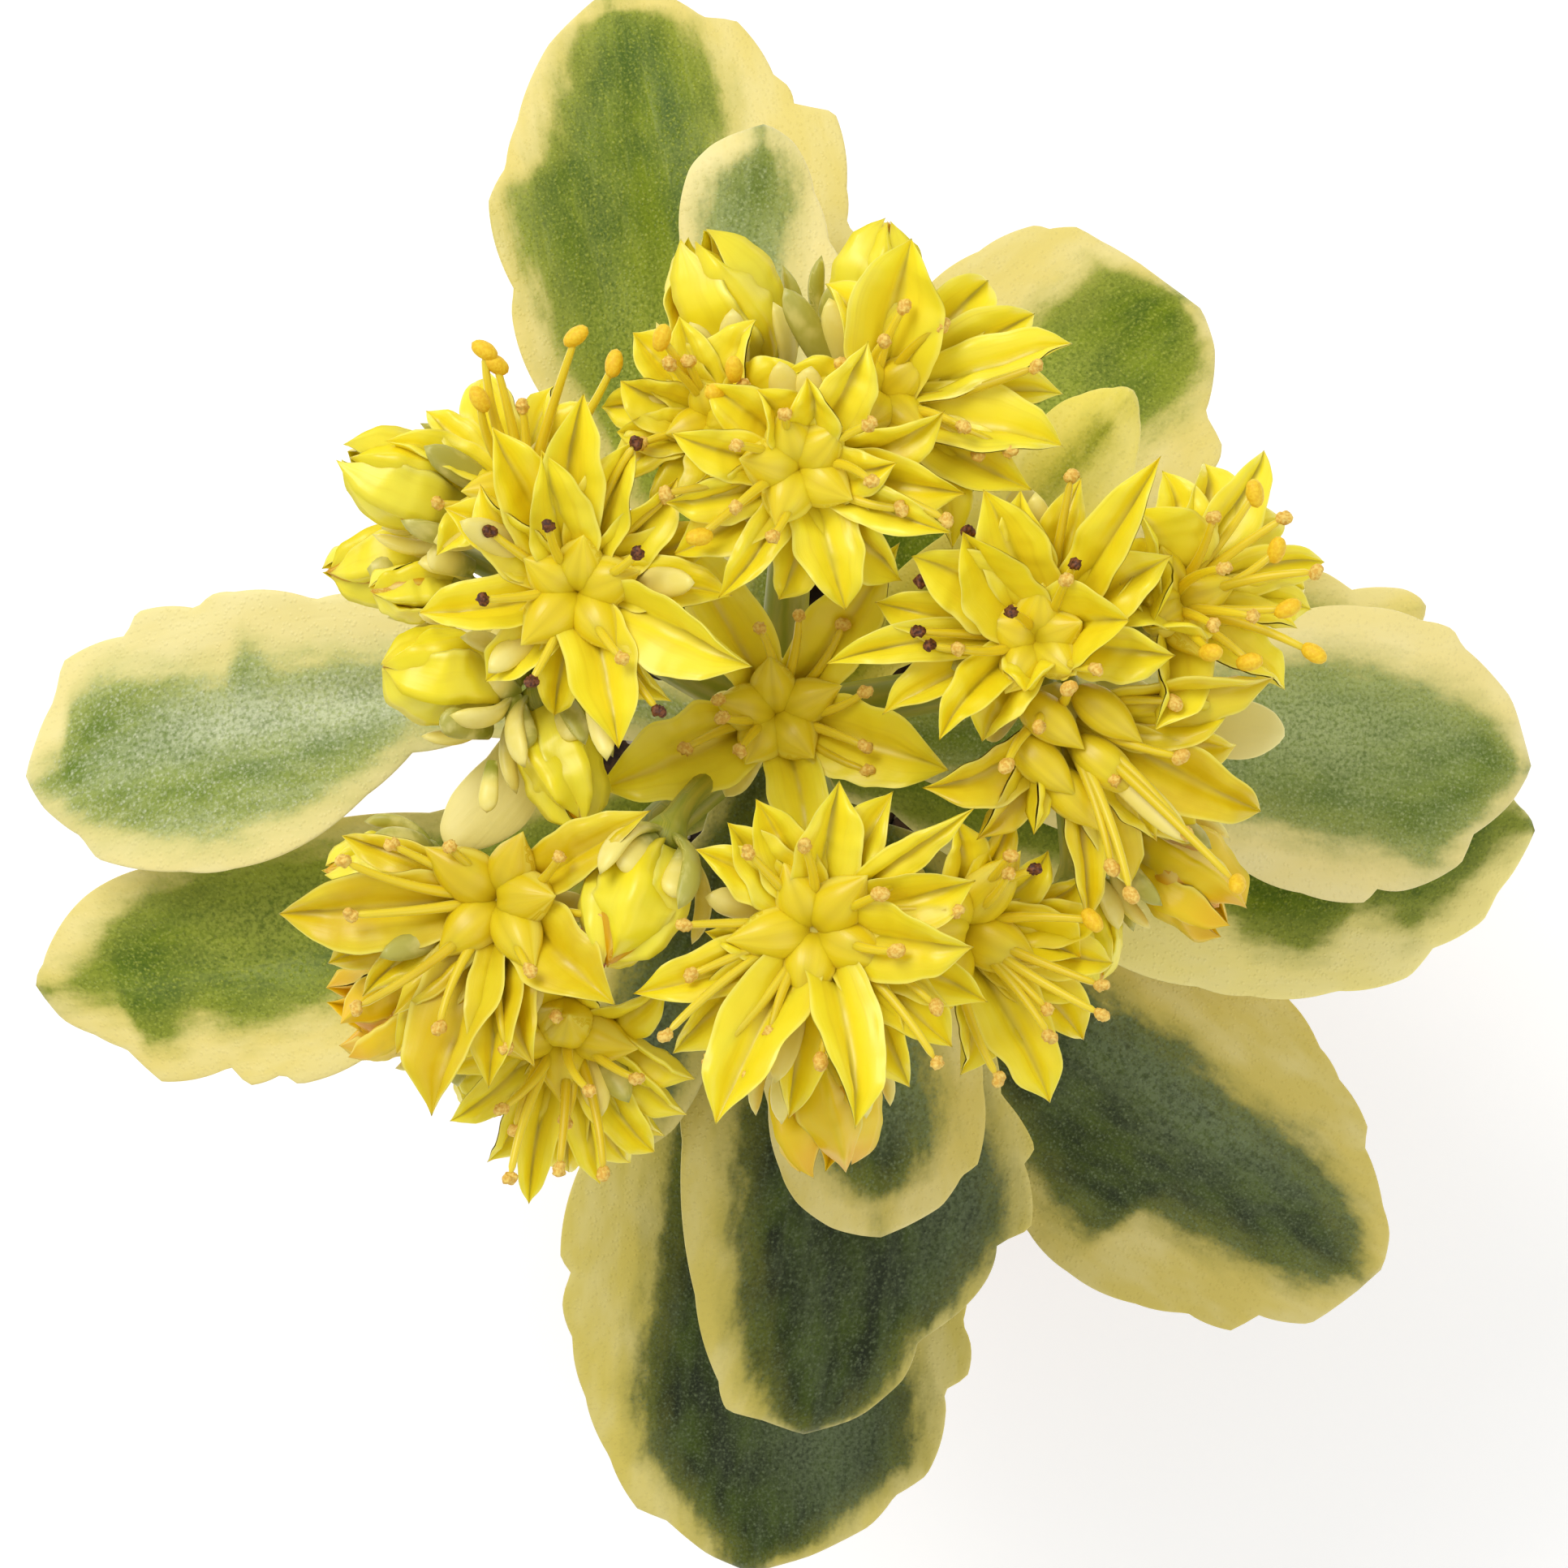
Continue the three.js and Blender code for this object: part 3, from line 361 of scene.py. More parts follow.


# %% [markdown]
# A leaf is a fleshy blade with a rounded edge. Its outline is given as it grows: how far each edge lies out
# from the midrib at each tooth, as [along, out]. The zone of green in its middle is given in the same way,
# as [along, left, right], and what lies outside it is cream. The painted sheen is a band of pale bloom
# colour that stands in for a reflection of the light, as [start, end, middle, half width]. All of it is in
# millimetres, measured from the stem and from the midrib.

# %% Leaf table
STEM = {"foot": (0, 0, 22), "soil": (0, 0, 32), "fork": (-0.3, 3.1, 74), "radius": 1.6}
LEAF_SKIN = {
    "sides": 64, "rings": 112, "midrib": 1.4, "edge": 0.8, "tip": 0.7,
    "swell": 0.06, "round": 1.1, "groove": 0.22,
}
LEAF_FOOT = [[1.6, 1.2], [6, 1.5]]
LEAVES = {
    "leaf_back_large": {
        "attach": 58, "tip": (-8.3, 40.9, 57), "arch": 3.0, "sway": 0, "cup": 1.0, "roll": 3,
        "flesh": "fresh", "painted_sheen": [10, 27, 1.5, 4.2],
        "left": [[13, 4.8], [19, 7.9], [23.4, 8.8], [25.1, 8.4], [29.8, 8.8], [31.4, 7.6], [33.6, 6.6],
            [37.3, 4.3], [38.8, 2.2]],
        "right": [[13, 4.8], [19, 8.0], [23.8, 9.2], [25, 8.6], [26.8, 9.0], [30.8, 9.2], [31.6, 7.3],
            [32.6, 7.2], [33.3, 6.6], [36.6, 5.3], [37.1, 3.7], [38.6, 2.2]],
        "green": [[0, 1, -1], [10, 3, -3], [20, 6.6, -5.5], [25, 7.3, -5.2], [28.5, 8, -4.2],
            [30.2, 7.4, -3.4], [31.2, 5.8, -3.6], [33, 4.9, -4], [35.5, 3.8, -3.3], [37, 3.1, -2.7],
            [37.9, 2.3, -1.2], [38.4, 1.0, 0.6]],
    },
    "leaf_back_small": {
        "attach": 68.5, "tip": (-1, 32, 70), "arch": 1.6, "sway": 0.3, "cup": 0.8, "roll": 0,
        "flesh": "bloomed", "painted_sheen": [13, 25, 0, 2.0],
        "left": [[12, 2.4], [18, 3.7], [23.7, 4.0], [27.1, 3.6], [27.7, 3.2], [28.9, 1.8]],
        "right": [[12, 2.4], [18, 4.2], [21.9, 4.0], [23.5, 3.2], [25.9, 2.5], [27.9, 1.8]],
        "green": [[0, 0.8, -0.8], [10, 1.4, -1.4], [20, 2.7, -1.2], [22, 2.9, -0.9], [25, 2.9, -1.3],
            [26.6, 2.3, -1.4], [27.6, 1.2, -1.1], [28.3, 0.2, -0.2]],
    },
    "leaf_back_right": {
        "attach": 60, "tip": (21, 24, 60), "arch": 2.5, "sway": 1.5, "cup": 1.0, "roll": -2,
        "flesh": "fresh", "painted_sheen": [15, 27, 1.5, 2.6],
        "left": [[10, 4.2], [15, 7.6], [21, 9.2], [24.6, 9.0], [27.7, 8.3], [27.9, 7.8], [29.1, 7.0],
            [29.4, 5.8], [30.0, 4.2], [30.4, 2.0]],
        "right": [[10, 3.6], [16, 6.6], [22, 7.4], [25.5, 6.8], [26.2, 6.2], [26.7, 4.5], [28.9, 2.8],
            [30.2, 1.2]],
        "green": [[0, 1, -1], [12, 4, -3], [20, 6.2, -3.6], [23, 4.8, -3.4], [26, 4.4, -3.5],
            [28.4, 4.8, -2.6], [29.4, 3.2, -1.2], [30, 1.6, 0.6]],
    },
    "leaf_back_right_small": {
        "attach": 70.4, "tip": (16.8, 18.9, 72.6), "arch": 1.2, "sway": -0.6, "cup": 0.6, "roll": 0,
        "flesh": "sunny",
        "left": [[12, 1.8], [18, 2.2], [20.2, 2.3], [21.4, 1.8], [22.8, 0.9]],
        "right": [[12, 2.2], [17, 3.1], [20.1, 2.9], [21.4, 2.2], [22.8, 1.1]],
        "green": [[0, 0.6, -0.6], [10, 0.6, -0.6], [16, 0.4, -0.9], [19, 0.3, -1.0], [21, 0.1, -0.6],
            [22, -0.3, 0.1]],
    },
    "leaf_right": {
        "attach": 64, "tip": (37.4, 0.9, 62), "arch": 2.4, "sway": 0.3, "cup": 0.9, "roll": 3,
        "flesh": "bloomed", "painted_sheen": [15, 35, 1.2, 2.6],
        "left": [[11, 3.0], [18, 5.6], [24.8, 6.7], [28.8, 7.3], [31.7, 6.8], [33.3, 6.5], [33.8, 5.7],
            [36.4, 3.4]],
        "right": [[11, 3.0], [17, 5.0], [23.3, 6.1], [26.1, 7.0], [29.4, 7.3], [29.9, 6.6], [31.4, 6.6],
            [34.2, 5.1], [34.8, 3.6], [36.7, 1.9]],
        "green": [[0, 1, -1], [12, 2.5, -2.5], [20, 3.4, -3.2], [24, 4.2, -3.4], [27, 4.7, -4.3],
            [30, 4.2, -4.6], [32.5, 3.5, -5.3], [33.8, 3.1, -4.2], [35, 2.6, -2.6], [36.4, 1.2, -1.4],
            [37, 0, -0.4]],
    },
    "leaf_right_low": {
        "attach": 57, "tip": (38.6, -2.4, 55), "arch": 1.6, "sway": -2.2, "cup": 0.6, "roll": -6,
        "flesh": "low",
        "left": [[11, 3.4], [18, 6.0], [26, 6.4], [33, 5.0], [36.6, 3.0], [38.0, 1.4]],
        "right": [[11, 3.4], [17, 6.4], [22.4, 7.6], [25, 7.9], [29.5, 7.6], [33.2, 7.0], [34.3, 5.6],
            [36.8, 4.4], [37.4, 3.0]],
        "green": [[0, 1, -1], [12, 2.5, -2], [22, 3.5, -3.2], [25, 4, -5.0], [27.5, 4, -5.6], [29, 4, -5.0],
            [30, 3.8, -3.4], [31.4, 3.6, -3.8], [33, 3.4, -4.8], [35, 2.8, -3], [36.8, 2, -0.9],
            [38.2, 1.2, -0.2]],
    },
    "leaf_right_hidden": {
        "attach": 51.5, "tip": (33.2, 9.2, 53.5), "arch": 1.4, "sway": 0.5, "cup": 0.5, "roll": 5,
        "flesh": "fresh",
        "left": [[12, 3.2], [20, 4.6], [26, 4.0], [29.5, 2.6], [30.6, 1.5]],
        "right": [[12, 3.2], [21, 4.6], [28, 4.0], [31.5, 2.4]],
        "green": [[0, 1, -1], [15, 2, -2], [26, 1.5, -1.5], [30, 0.5, -0.5], [31, -1, 1]],
    },
    "leaf_front_right": {
        "attach": 53, "tip": (31.2, -25.4, 50.5), "arch": 2.6, "sway": -1.8, "cup": 0.9, "roll": 4,
        "flesh": "dark", "painted_sheen": [16, 38, 1.5, 2.0],
        "left": [[12, 3.9], [20, 7.5], [25.6, 9.0], [28.1, 9.0], [30.9, 8.0], [32.9, 7.2], [35.7, 6.0],
            [36.2, 5.1], [39.2, 2.9], [40.5, 1.8]],
        "right": [[12, 3.9], [19, 7.5], [25.5, 8.6], [28.7, 9.1], [32.5, 8.4], [34.9, 7.3], [37.4, 6.8],
            [37.8, 5.4], [40.3, 4.4], [41.2, 2.4]],
        "green": [[0, 1, -1], [10, 2.2, -2.2], [17, 2.9, -3.6], [22, 3.4, -5.3], [25.5, 4.0, -6.8],
            [28.4, 3.6, -7.1], [29.6, 3.4, -4.2], [33.5, 3.7, -3.7], [36, 2.8, -3.3], [39, 1.3, -2.4],
            [40.4, -0.3, -1.3], [41, -1, -0.9]],
    },
    "leaf_front_large": {
        "attach": 50, "tip": (-1.7, -41.5, 48.5), "arch": 2.6, "sway": 0.3, "cup": 0.9, "roll": 0,
        "flesh": "shaded", "painted_sheen": [27, 41, 3.5, 3.0],
        "left": [[12, 4.4], [20, 8.6], [25, 10.2], [29, 10.2], [30.1, 10.7], [31.8, 10.6], [32.6, 9.4],
            [34, 9.6], [37.2, 8.8], [38.4, 7.2], [40.1, 6.0], [41.8, 3.1]],
        "right": [[12, 4.6], [17, 8.0], [21.1, 9.8], [26.2, 10.8], [27.1, 10.2], [28.8, 10.6], [30.5, 10.0],
            [33.6, 9.2], [36.8, 7.8], [39.6, 6.2], [40.2, 4.6], [42.2, 2.0]],
        "green": [[0, 1, -1], [10, 3, -3], [17, 6, -5.2], [24, 7.5, -5.6], [30, 7, -6.3], [33, 8.2, -6.7],
            [36.5, 8, -6], [39, 5.4, -3.8], [41, 3.4, -2.2], [42.4, 0.6, -1.6]],
    },
    "leaf_front": {
        "attach": 61.5, "tip": (1, -32.8, 60), "arch": 2.0, "sway": 3.0, "cup": 0.8, "roll": 0,
        "flesh": "shaded", "painted_sheen": [12, 30, 5.4, 2.8],
        "left": [[9, 3.6], [14, 6.6], [18, 7.4], [20.7, 9.1], [21.5, 8.6], [24.8, 9.2], [25.5, 7.6],
            [27.2, 7.4], [28.8, 6.4], [30.4, 4.5], [32.4, 4.2], [34.5, 2.2]],
        "right": [[9, 5.0], [16.1, 8.2], [19.8, 8.5], [27.6, 7.2], [32.1, 5.1], [33.5, 4.4], [33.8, 3.8],
            [34.1, 2.6]],
        "green": [[0, 1, -1], [9, 3, -3], [16, 5.5, -5.6], [20, 6.6, -5.9], [24, 8.2, -5.8],
            [26.4, 7.2, -5.3], [28.4, 6.0, -4.9], [30, 4.6, -4.5], [32, 4.0, -3.5], [34, 2.5, -1.8],
            [35, 0.4, -0.2]],
    },
    "leaf_front_small": {
        "attach": 71.4, "tip": (4.7, -22, 70), "arch": 1.4, "sway": 1.0, "cup": 0.7, "roll": 0,
        "flesh": "dark", "painted_sheen": [12, 22, 1.2, 1.8],
        "left": [[9, 3.0], [14, 5.0], [19.1, 5.5], [22.8, 4.9], [23.2, 4.1], [24.5, 3.0], [25.1, 1.9]],
        "right": [[9, 3.0], [14, 4.7], [17.9, 4.9], [21.1, 4.7], [22.9, 4.0], [24.3, 2.6], [25.1, 1.5]],
        "green": [[0, 0.8, -0.8], [8, 2, -2], [15, 3, -2.8], [19, 3.2, -3.0], [21.5, 2.7, -2.2],
            [23.0, 1.4, -1.0], [23.8, -0.4, 0.5]],
    },
    "leaf_front_left_small": {
        "attach": 66.4, "tip": (-9.3, -18.2, 64), "arch": 1.4, "sway": 0, "cup": 0.5, "roll": 0,
        "flesh": "shaded", "painted_sheen": [12, 22, 0, 2.2],
        "left": [[9, 2.2], [15, 3.2], [20, 3.1], [21.5, 2.2]],
        "right": [[9, 2.2], [15, 3.2], [19.6, 3.3], [20.4, 2.9], [21.7, 1.8]],
        "green": [[0, 0.8, -0.8], [12, 2, -2], [18, 2.4, -2.4], [20.5, 1.6, -1.4], [21.8, 0.2, -0.2]],
    },
    "leaf_left": {
        "attach": 62.5, "tip": (-38.1, 0.4, 61), "arch": 2.4, "sway": -3.2, "cup": 1.3, "roll": -4,
        "flesh": "frosted", "painted_sheen": [13, 35, 0.5, 1.6],
        "left": [[10, 1.6], [15, 2.2], [18.2, 3.0], [20.6, 5.0], [23.6, 7.0], [27.3, 7.7], [29.9, 7.3],
            [34.4, 5.4], [35.2, 4.0], [36.7, 2.4]],
        "right": [[10, 2.6], [15, 4.2], [19.7, 4.9], [22.6, 4.9], [26.6, 5.9], [27.8, 6.0], [28.6, 5.5],
            [31.7, 6.1], [32.3, 5.1], [35.7, 4.9], [36.2, 3.2], [37.4, 1.5]],
        "green": [[0, 0.6, -0.6], [10, 1, -1.4], [18, 2, -1.6], [21, 4.2, -1.9], [25, 5.5, -2],
            [26.4, 5.8, -3.2], [27.4, 5.9, -1.7], [29, 5.8, -2.4], [31.5, 5.2, -2.9], [34, 4, -3.6],
            [35.4, 2.9, -2.4], [36, 2.2, -0.2], [37.5, 1, 0.5]],
    },
    "leaf_front_left": {
        "attach": 55.5, "tip": (-38.6, -10.4, 54), "arch": 2.0, "sway": 2.5, "cup": 0.8, "roll": 4,
        "flesh": "fresh", "painted_sheen": [20, 34, -1.5, 2.4],
        "left": [[11, 2.8], [18, 4.6], [24, 5.9], [28.6, 6.8], [29.2, 6.1], [31.1, 6.4], [31.7, 5.3],
            [35.4, 5.6], [36.7, 3.7], [38.1, 2.8], [39.6, 1.8]],
        "right": [[11, 2.8], [18, 4.8], [26, 6.0], [32.2, 5.6], [35.8, 4.8], [37.9, 3.3], [39.6, 1.2]],
        "green": [[0, 0.8, -0.8], [12, 2.4, -2.6], [22, 2, -4.4], [26, 3.2, -5], [30.5, 3.4, -5],
            [32.5, 2.4, -4.6], [34.4, 3.6, -3.6], [35.6, 3.4, -2.9], [36.3, 1.3, -2.2], [38, 0.8, -0.8],
            [39, 0.5, 0.1]],
    },
}


print("leaves in the table:", len(LEAVES))

# %% [markdown]
# The blade is one rolled skin between its two edges. It has more rings near the tip, where the outline
# turns fastest, arches along its length, cups across it, and has a shallow groove over the midrib.
# Subdividing a flat outline would be another way, but it would lose the teeth's exact places.

# %% Leaf blade
BLADE = {
    "ease": 0.35, "spread": 0.9, "plump": 0.7, "foot": 0.4, "groove_half": 0.7, "uneven": 0.12, "cup_at": 8,
}


def stem_at(height):
    """The place of the stem's middle at a height."""
    soil, fork = Vector(STEM["soil"]), Vector(STEM["fork"])
    return soil.lerp(fork, max(0.0, (height - soil.z) / (fork.z - soil.z)))


def edge_at(edge, along, swell):
    """How far out an edge lies at a distance along the leaf. Its stretches swell into arcs."""
    for (a, low), (b, high) in zip(edge, edge[1:]):
        if along <= b or b == edge[-1][0]:
            t = part_of(along, a, b)
            return low + (high - low) * t + swell * (b - a) * 4 * t * (1 - t)


def blade(bm, leaf, start, skin, foot):
    """A fleshy blade from a start to a tip, with a groove along its midrib and a soft unevenness."""
    line = Vector(leaf["tip"]) - start
    length = math.hypot(line.x, line.y)
    ahead = Vector((line.x, line.y, 0)) / length
    leftward = Vector((-ahead.y, ahead.x, 0))
    left = foot + leaf["left"] + [[length, skin["tip"]]]
    right = foot + leaf["right"] + [[length, skin["tip"]]]
    first = left[0][0]

    def spot(share, turn):
        eased = share + (0.5 - 0.5 * math.cos(math.pi * share) - share) * BLADE["ease"]
        along = first + (length - first) * eased
        angle = math.tau * turn
        across = math.copysign(abs(math.cos(angle)) ** BLADE["spread"], math.cos(angle))
        end = round_end(length - along, skin["round"]) * round_end(along - first + 0.001, BLADE["foot"])
        out = across * edge_at(left if across > 0 else right, along, skin["swell"]) * end
        part = along / length
        hump = 4 * part * (1 - part)
        half = (skin["edge"] + (skin["midrib"] - skin["edge"]) * (1 - abs(across))) / 2 * end
        side = math.sin(angle)
        high = math.copysign(abs(side) ** BLADE["plump"], side) * half
        if side > 0:
            high -= skin["groove"] * math.exp(-((out / BLADE["groove_half"]) ** 2)) * hump
            high += BLADE["uneven"] * noise.noise(Vector((along * 0.25, out * 0.6, start.z)))
        rise = line.z * part + leaf["arch"] * hump + math.tan(math.radians(leaf["roll"])) * out * hump
        rise += leaf["cup"] * abs(out) / BLADE["cup_at"] * hump
        place = start + ahead * along + leftward * (leaf["sway"] * hump + out) + UP * (rise + high)
        return place, (along, out, start.z)

    return rolled(bm, skin["sides"], skin["rings"], spot)


def mark_green(bm, sheet, zone):
    """Marks how deep each point lies inside the zone of green, below 0 outside it."""
    mark = bm.verts.layers.float_vector["mark"]
    green = bm.verts.layers.float["green"]
    for vert in sheet:
        along, out, _ = vert[mark]
        for (a, a_left, a_right), (b, b_left, b_right) in zip(zone, zone[1:]):
            if along <= b or b == zone[-1][0]:
                t = part_of(along, a, b)
                left = a_left + (b_left - a_left) * t
                right = a_right + (b_right - a_right) * t
                vert[green] = min(left - out, out - right)
                break


def mark_painted_sheen(bm, sheet, band):
    """Marks how strong the painted sheen is: a band of pale colour that stands in for a reflection of the
    light.
    """
    mark = bm.verts.layers.float_vector["mark"]
    painted_sheen = bm.verts.layers.float["painted_sheen"]
    start, end, middle, half = band
    for vert in sheet:
        along, out, _ = vert[mark]
        part = part_of(along, start, end)
        vert[painted_sheen] = math.sin(math.pi * part) * math.exp(-(((out - middle) / half) ** 2))


# %% [markdown]
# The flesh of a leaf is green in its middle and cream towards its edges. The border between them is soft
# and feathered along the veins, with a paler green in it, and small darker flecks lie in the green. The
# surface is covered with tiny blisters, and their glints are painted in as pale dots and fine pale specks.
# A waxy bloom lies over it in streaks, and a broad band of the same pale colour is a painted sheen, which
# stands in for a reflection of the light. The effect is one group. It is used with seven sets of colours.
# The top leaves use the fresh, sunny and frosted sets, and the lower ones the low, dark and shaded sets.
# The fresh and bloomed sets are the leaves' own colours. The sunny set is a yellower leaf painted lighter,
# as lit. The frosted set is a leaf frosted with bloom, painted lighter where it lies in the light. The low
# set has a cream painted lighter, against the shade of the leaf above it. The dark set is partly the
# leaves' own deeper green and partly painted shade, and the shaded set is painted shade. An image would fix
# one leaf's pattern, and noise gives each leaf its own.

# %% Leaf flesh
def flesh_group():
    """Colour, roughness and height of a variegated, blistered leaf."""
    tree = bpy.data.node_groups.new("variegated_flesh", "ShaderNodeTree")
    sides = {
        "INPUT": [
            ("Mark", "Vector"), ("Depth", "Float"), ("Painted Sheen", "Float"),
            ("Deep", "Color"), ("Light", "Color"), ("Cream", "Color"), ("Bloom", "Color"),
        ],
        "OUTPUT": [("Color", "Color"), ("Roughness", "Float"), ("Height", "Float")],
    }
    for side, sockets in sides.items():
        for name, kind in sockets:
            tree.interface.new_socket(name=name, in_out=side, socket_type="NodeSocket" + kind)
    given = tree.nodes.new("NodeGroupInput").outputs
    result = tree.nodes.new("NodeGroupOutput").inputs

    # The border: feathered along the veins and ragged in between.
    veins = stretched(tree, given["Mark"], (0.45, 1.0, 1.0))
    feather = calc(tree, "MULTIPLY", calc(tree, "SUBTRACT", grain(tree, veins, 1.1, 4.0), 0.5), 1.9)
    fine = grain(tree, given["Mark"], 4.5, 3.0)
    ragged = calc(tree, "MULTIPLY", calc(tree, "SUBTRACT", fine, 0.5), 0.6)
    depth = calc(tree, "ADD", given["Depth"], calc(tree, "ADD", feather, ragged))
    inside = between(tree, depth, -0.5, 0.7)
    halo = between(tree, depth, -1.7, 0.1, 0.0, 0.6)

    # The green: mottled, paler near the border, with bloom, a painted sheen, streaks, painted glints as
    # fine specks, and darker flecks.
    mottle = grain(tree, veins, 0.7, 5.0)
    green = blend(tree, between(tree, mottle, 0.3, 0.75, 0.0, 0.8), given["Deep"], given["Light"])
    rim = blend(tree, 0.16, given["Light"], given["Cream"])
    green = blend(tree, between(tree, depth, 2.4, 0.1, 0.0, 0.75), green, rim)
    frost = between(tree, grain(tree, given["Mark"], 0.3, 4.0), 0.4, 0.7, 0.0, 0.22)
    frost = calc(tree, "MULTIPLY", frost, between(tree, fine, 0.35, 0.6, 0.2, 1.0))
    green = blend(tree, frost, green, given["Bloom"])
    # A painted sheen: the bloom colour laid in a band where the mesh marks it.
    painted_sheen = calc(tree, "MULTIPLY", given["Painted Sheen"], between(tree, fine, 0.3, 0.62, 0.3, 1.0))
    green = blend(tree, calc(tree, "MULTIPLY", painted_sheen, 0.75), green, given["Bloom"])
    lengthwise = stretched(tree, given["Mark"], (0.2, 1.6, 1.0))
    streak = between(tree, grain(tree, lengthwise, 1.0, 3.0), 0.5, 0.75)
    green = blend(tree, calc(tree, "MULTIPLY", streak, 0.16), green, given["Bloom"])
    # Painted glints: fine pale specks.
    painted_specks = between(tree, grain(tree, given["Mark"], 7.0, 2.0), 0.46, 0.72, 0.0, 0.34)
    green = blend(tree, painted_specks, green, given["Bloom"])
    # Small darker flecks.
    dark_flecks = between(tree, grain(tree, given["Mark"], 5.5, 3.0), 0.5, 0.36, 0.0, 0.28)
    green = blend(tree, dark_flecks, green, blend(tree, 0.5, given["Deep"], (0, 0, 0, 1)))

    # The cream, and the paler green where the two meet.
    cream_cloud = between(tree, grain(tree, veins, 0.5, 3.0), 0.35, 0.7)
    lit_cream = blend(tree, 0.24, given["Cream"], linear((252, 244, 196)))
    cream = blend(tree, cream_cloud, given["Cream"], lit_cream)
    pale = blend(tree, halo, cream, blend(tree, 0.45, given["Light"], given["Cream"]))
    colour = blend(tree, inside, pale, green)

    # The blisters: their relief, and their glints painted in as pale dots.
    blisters = node(tree, "TexVoronoi", {"Vector": given["Mark"], "Scale": 4.0}, feature="F1")
    dots = between(tree, blisters.outputs["Distance"], 0.1, 0.44, 1.0, 0.0)
    painted_glints = calc(tree, "MULTIPLY", dots, between(tree, fine, 0.4, 0.62, 0.08, 0.55))
    colour = blend(tree, calc(tree, "MULTIPLY", painted_glints, inside), colour, given["Bloom"])
    plug(tree, result["Color"], colour)
    plug(tree, result["Roughness"], between(tree, mottle, 0.3, 0.7, 0.52, 0.4))
    ribs = calc(tree, "MULTIPLY", streak, -0.5)
    plug(tree, result["Height"], calc(tree, "ADD", dots, ribs))
    return tree


FLESH = flesh_group()
print("nodes in the flesh:", len(FLESH.nodes))

# %% Leaf colours
FLESH_SOCKETS = ["Deep", "Light", "Cream", "Bloom"]
FLESH_COLOURS = {
    "fresh": [(72, 96, 2), (124, 140, 8), (234, 214, 122), (172, 180, 72)],
    # The sunny set: a yellower leaf, painted lighter as lit.
    "sunny": [(108, 120, 6), (158, 158, 16), (240, 222, 98), (190, 186, 80)],
    # The low set: the fresh colours with the cream painted lighter, against the shade of the leaf above.
    "low": [(72, 96, 2), (122, 138, 8), (254, 238, 146), (160, 168, 62)],
    # The frosted set: a bloom-frosted leaf, painted lighter where it lies in the light. Its pale bloom also
    # colours its painted sheen.
    "frosted": [(100, 124, 30), (160, 174, 84), (243, 227, 150), (218, 223, 184)],
    "shaded": [(28, 36, 5), (72, 88, 10), (214, 196, 96), (110, 122, 86)],
    "bloomed": [(82, 104, 22), (126, 142, 48), (242, 224, 146), (178, 188, 128)],
    # The dark set: partly the leaves' own deeper green, partly painted shade.
    "dark": [(34, 44, 6), (84, 100, 12), (216, 196, 100), (124, 137, 98)],
}


def leaf_material(name, colours):
    """Leaf flesh: satin and finely blistered."""
    made, tree, shader = material(name, Specular_IOR_Level=0.26)
    group = node(tree, "Group", node_tree=FLESH)
    plug(tree, group.inputs["Mark"], mesh_mark(tree, "mark"))
    plug(tree, group.inputs["Depth"], mesh_mark(tree, "green", "Fac"))
    plug(tree, group.inputs["Painted Sheen"], mesh_mark(tree, "painted_sheen", "Fac"))
    for socket, colour in zip(FLESH_SOCKETS, colours):
        group.inputs[socket].default_value = linear(colour)
    plug(tree, shader.inputs["Roughness"], group.outputs["Roughness"])
    dress(tree, shader, group.outputs["Color"], group.outputs["Height"], 0.35, 0.08)
    return made


LEAF_MATERIALS = {name: leaf_material("leaf_" + name, colours) for name, colours in FLESH_COLOURS.items()}
print("leaf materials:", len(LEAF_MATERIALS))

# %% Leaves
for name, leaf in LEAVES.items():
    bm = skin_mesh()
    sheet = blade(bm, leaf, stem_at(leaf["attach"]), LEAF_SKIN, LEAF_FOOT)
    mark_green(bm, sheet, leaf["green"])
    if "painted_sheen" in leaf:
        mark_painted_sheen(bm, sheet, leaf["painted_sheen"])
    finish_piece(bm, name, [LEAF_MATERIALS[leaf["flesh"]]])
print("leaves:", len(LEAVES))

# %% [markdown]
# Three narrow bracts stand among the flowers. They are blades like the leaves, only thinner, smoother and
# nearly all cream.

# %% Bracts
BRACT_SKIN = {
    "sides": 40, "rings": 48, "midrib": 0.9, "edge": 0.6, "tip": 0.6,
    "swell": 0.06, "round": 0.9, "groove": 0.1,
}
BRACTS = {
    "bract_left": {
        "start": (-10.9, 6.6, 81.6), "tip": (-15.3, -3.0, 84.4), "arch": 0.6, "sway": 1.2, "cup": 0.3,
        "roll": 0,
        "left": [[0, 0.5], [3.5, 0.6], [6, 1.4], [8.2, 1.8], [9.9, 1.1]],
        "right": [[0, 0.5], [3.5, 0.6], [6, 1.4], [8.2, 1.8], [9.9, 1.1]],
    },
    "bract_right": {
        "start": (14.4, 5.2, 81.9), "tip": (23.0, 2.2, 83.4), "arch": 0.5, "sway": -0.6, "cup": 0.3,
        "roll": 0,
        "left": [[0, 0.5], [3, 0.6], [5, 1.1], [7.3, 1.4], [8.6, 0.9]],
        "right": [[0, 0.5], [3, 0.6], [5, 1.1], [7.3, 1.4], [8.6, 0.9]],
    },
    "bract_back_right": {
        "start": (12.0, 7.4, 82.4), "tip": (10.7, 13.6, 85.4), "arch": 0.3, "sway": 0, "cup": 0.2,
        "roll": 0,
        "left": [[0, 0.5], [2.5, 0.6], [5.2, 0.9], [6.4, 0.6]],
        "right": [[0, 0.5], [2.5, 0.6], [5.2, 0.9], [6.4, 0.6]],
    },
}

